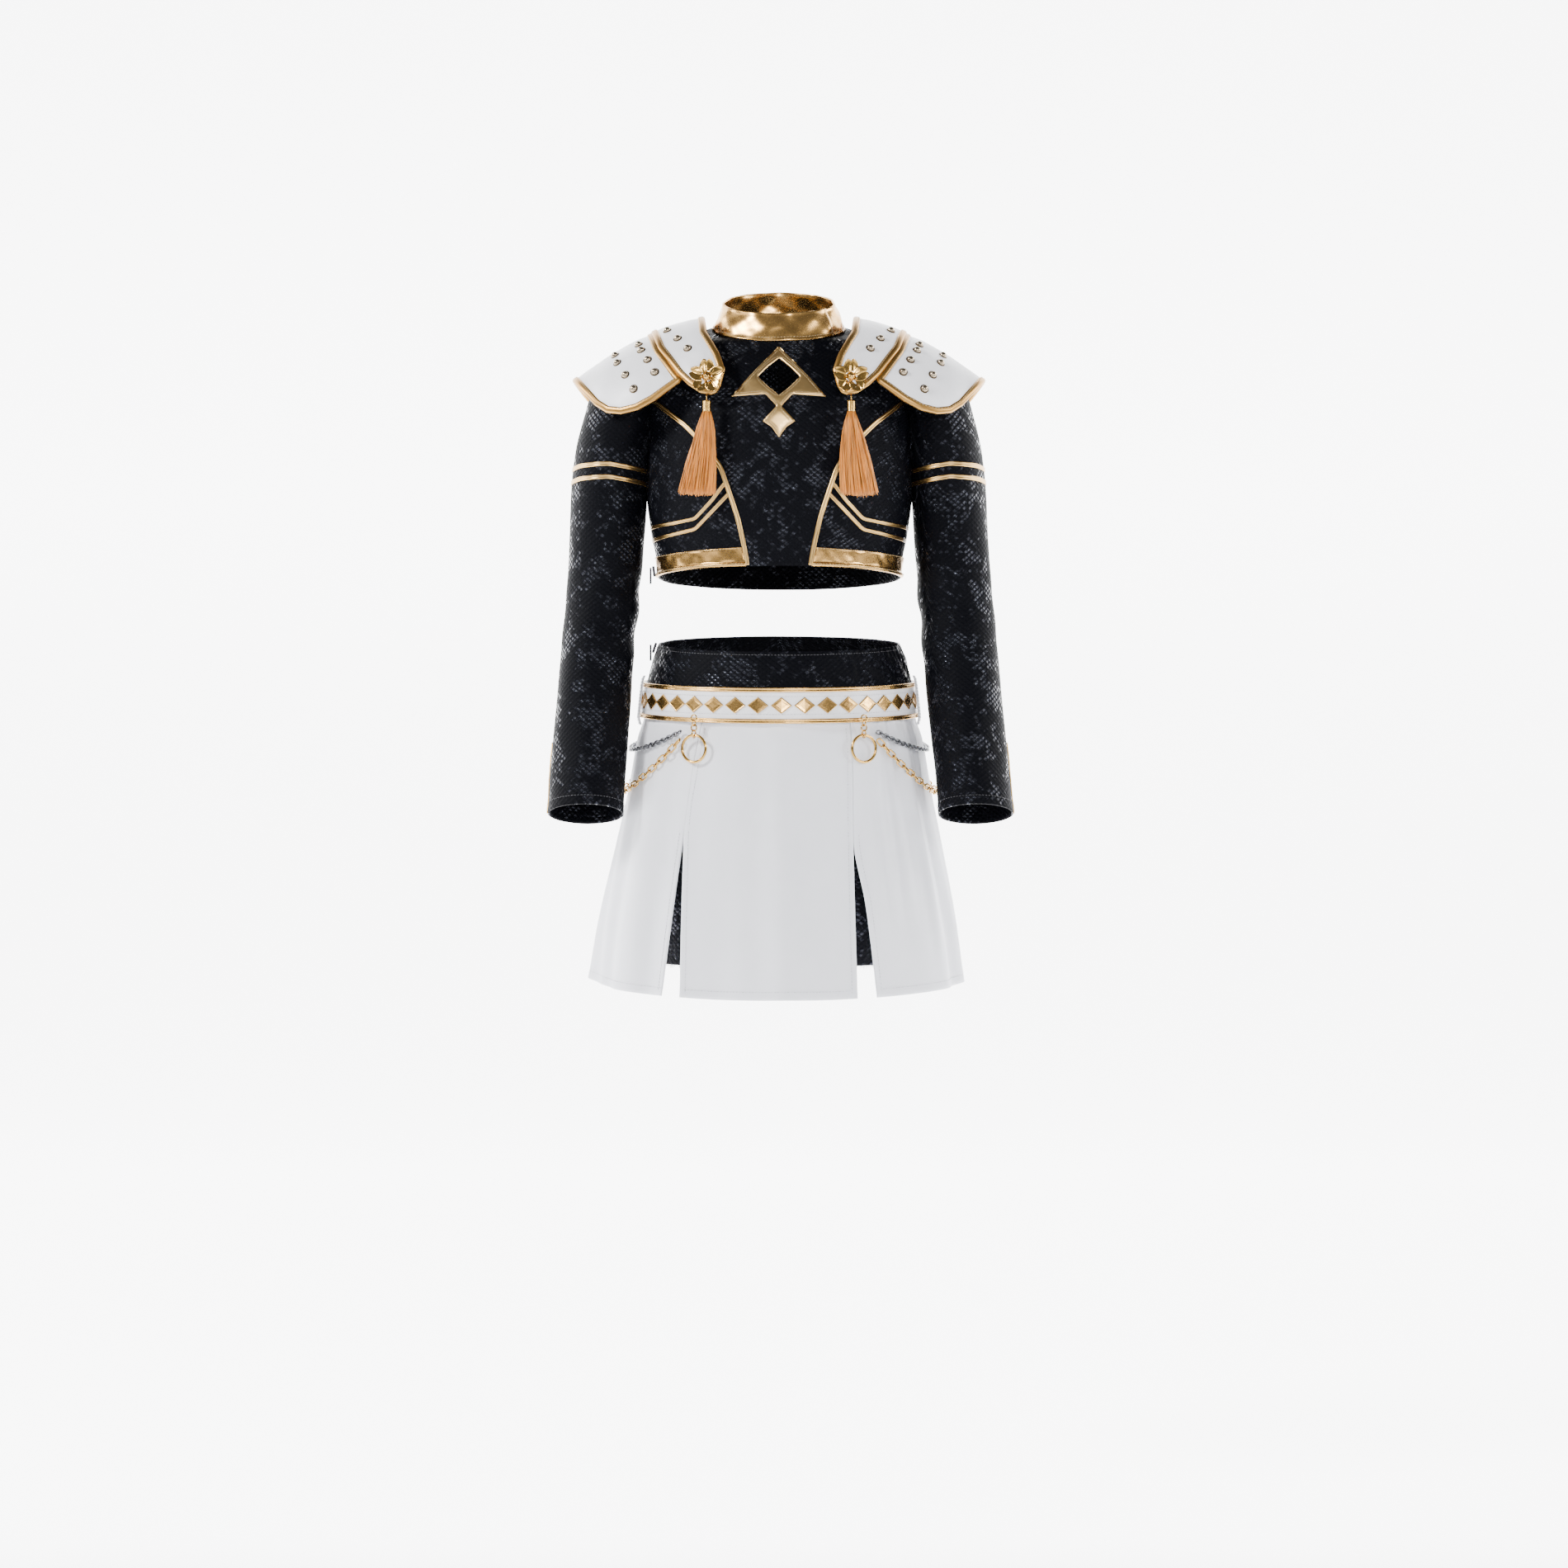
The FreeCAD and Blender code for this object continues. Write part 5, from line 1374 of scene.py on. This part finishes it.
def make_shorts():
    """Shorts: the frame's shell remeshed evenly, softly wrinkled, with frayed leg hems."""
    source = frame["nodes"]["shorts"]
    made = bpy.data.objects.new("shorts_cloth", source.data.copy())
    bpy.context.scene.collection.objects.link(made)
    remesh = made.modifiers.new("even", "REMESH")
    remesh.mode, remesh.voxel_size = "VOXEL", 1.5 * MM
    relax = made.modifiers.new("relax", "SMOOTH")
    relax.factor, relax.iterations = 0.5, 3
    graph = bpy.context.evaluated_depsgraph_get()
    data = bpy.data.meshes.new_from_object(made.evaluated_get(graph))
    made.modifiers.clear()
    made.data = data
    data.name = "shorts_cloth"
    points = np.empty(len(data.vertices) * 3)
    data.vertices.foreach_get("co", points)
    points = points.reshape(-1, 3)
    side = np.where(points[:, 0] > 0, 1, -1)
    centre = side * 0.057 * np.clip((-0.10 - points[:, 2]) / 0.06, 0, 1)
    angle = np.arctan2(points[:, 0] - centre, -points[:, 1])
    out = unit(np.stack([np.sin(angle), -np.cos(angle), 0 * angle], 1))
    points += out * (0.5 * MM * np.sin(7 * angle + 60 * points[:, 2])
                     + 0.4 * MM * np.sin(11 * angle - 90 * points[:, 2] + 1))[:, None]
    data.vertices.foreach_set("co", points.ravel())
    layer = data.uv_layers.new(name="metres")
    corners = np.empty(len(data.loops), int)
    data.loops.foreach_get("vertex_index", corners)
    radius = np.interp(points[:, 2], [-0.16, -0.1], [0.06, 0.1])
    uv = np.stack([angle * radius, points[:, 2]], 1)[corners]
    layer.data.foreach_set("uv", uv.astype(np.float32).ravel())
    data.materials.clear()
    data.materials.append(FABRIC)
    data.polygons.foreach_set("use_smooth", [True] * len(data.polygons))
    data.update()
    settle(made, "shorts", slot="scale_fabric")
    random = np.random.default_rng(5)
    mesh = Mesh()
    for side in (LEFT, RIGHT):
        for _ in range(420):
            turn = random.uniform(0, 2 * math.pi)
            inset = random.uniform(0, 1.6)
            start = np.array([side * 0.059 + (48 - inset) * MM * math.cos(turn),
                              (66 - inset) * MM * math.sin(turn), -0.2772])
            lean = random.normal(size=3) * np.array([0.8, 0.8, 0.3])
            tip = start + (np.array([0, 0, -random.uniform(1.2, 3.6)]) + lean) * MM
            middle = (start + tip) / 2 + random.normal(size=3) * 0.3 * MM
            add_tube(mesh, [start, middle, tip], [0.13 * MM, 0.11 * MM, 0.05 * MM], 3)
    fray = mesh.build("shorts_fray", [thread("fray", (0.30, 0.31, 0.36), 0.6)])
    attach(fray, BODY_OF["shorts"])


# ---------------------------------------------------------------- frame nodes that stay

KEPT = {"drop_chain": GOLD, "o_ring": GOLD, "gold_chain": GOLD, "gunmetal_chain": GUNMETAL,
        "top_zip": ZIP_METAL, "skirt_zip": ZIP_METAL}


def finish_kept_nodes():
    """Metal finishes for the nodes whose shape is already right."""
    for name, node in frame["nodes"].items():
        for start, material in KEPT.items():
            if name.startswith(start):
                node.data.materials.clear()
                node.data.materials.append(material)
                node.data.polygons.foreach_set("use_smooth", [True] * len(node.data.polygons))


# ---------------------------------------------------------------- studio

# Height of the studio floor in metres, and how brightly the paper behind the part glows.
FLOOR = -0.752
PAPER_GLOW = 5.5


def make_studio():
    """Pale floor that curves up into a backdrop, soft lights and the camera."""
    profile = [(-6.0, 0.0), (2.6, 0.0)]
    profile += [(2.6 + 1.2 * math.sin(a), 1.2 - 1.2 * math.cos(a))
                for a in np.linspace(0.1, math.pi / 2, 12)]
    profile.append((3.8, 6.0))
    points = [(x, y, FLOOR + z) for y, z in profile for x in (-7, 7)]
    faces = [[2 * i, 2 * i + 1, 2 * i + 3, 2 * i + 2] for i in range(len(profile) - 1)]
    mesh = Mesh()
    mesh.add(points, faces, [(p[0], p[1]) for p in points])
    paper = Nodes("paper", (0.93, 0.93, 0.94), 0.9)
    paper.set(paper.shader, {"Emission Color": (1, 1, 1, 1)})
    tone = paper.noise(paper.place((1, 1, 1)), 3.0)
    depth = paper.node("SeparateXYZ", {"Vector": paper.space()}).outputs["Y"]
    paper.shade(Base_Color=paper.blend(tone, (0.92, 0.92, 0.93), (0.94, 0.94, 0.95)),
                Emission_Strength=paper.remap(depth, -0.6, -0.1, 0.0, PAPER_GLOW))
    mesh.build("studio_floor", [paper.material])
    world = bpy.data.worlds.new("studio")
    world.use_nodes = True
    colour, strength = world.node_tree.nodes["Background"].inputs[:2]
    colour.default_value = (0.93, 0.95, 1.0, 1)
    strength.default_value = 0.22
    bpy.context.scene.world = world
    lamps = [("key", (-2.3, -1.5, 1.7), 0.6, 135), ("fill", (2.5, -1.2, 0.8), 0.6, 40),
             ("rim_left", (1.9, 0.4, 0.9), 0.6, 26), ("rim_right", (-1.9, 0.4, 0.9), 0.6, 30),
             ("front", (0.4, -2.6, 0.5), 0.5, 34)]
    for name, place, side, power in lamps:
        light = bpy.data.lights.new(name, "AREA")
        light.shape, light.size, light.energy = "SQUARE", side, power
        lamp = bpy.data.objects.new(name, light)
        lamp.location = place
        aim = Vector((0, 0, 0)) - Vector(place)
        lamp.rotation_euler = aim.to_track_quat("-Z", "Y").to_euler()
        bpy.context.scene.collection.objects.link(lamp)
    data = bpy.data.cameras.new("camera")
    data.lens, data.sensor_width = 79.0, 36.0
    data.clip_start, data.clip_end = 0.1, 50.0
    camera = bpy.data.objects.new("camera", data)
    camera.location = (0.0043, -3.0, -0.1224)
    camera.rotation_euler = (math.pi / 2, 0, 0)
    bpy.context.scene.collection.objects.link(camera)
    bpy.context.scene.camera = camera


bodice_tree = make_bodice()
make_collar()
make_front_trims(bodice_tree)
make_sleeves()
make_plates()
make_tassels()
make_skirt()
make_waistband()
make_belt()
make_shorts()
finish_kept_nodes()
make_studio()
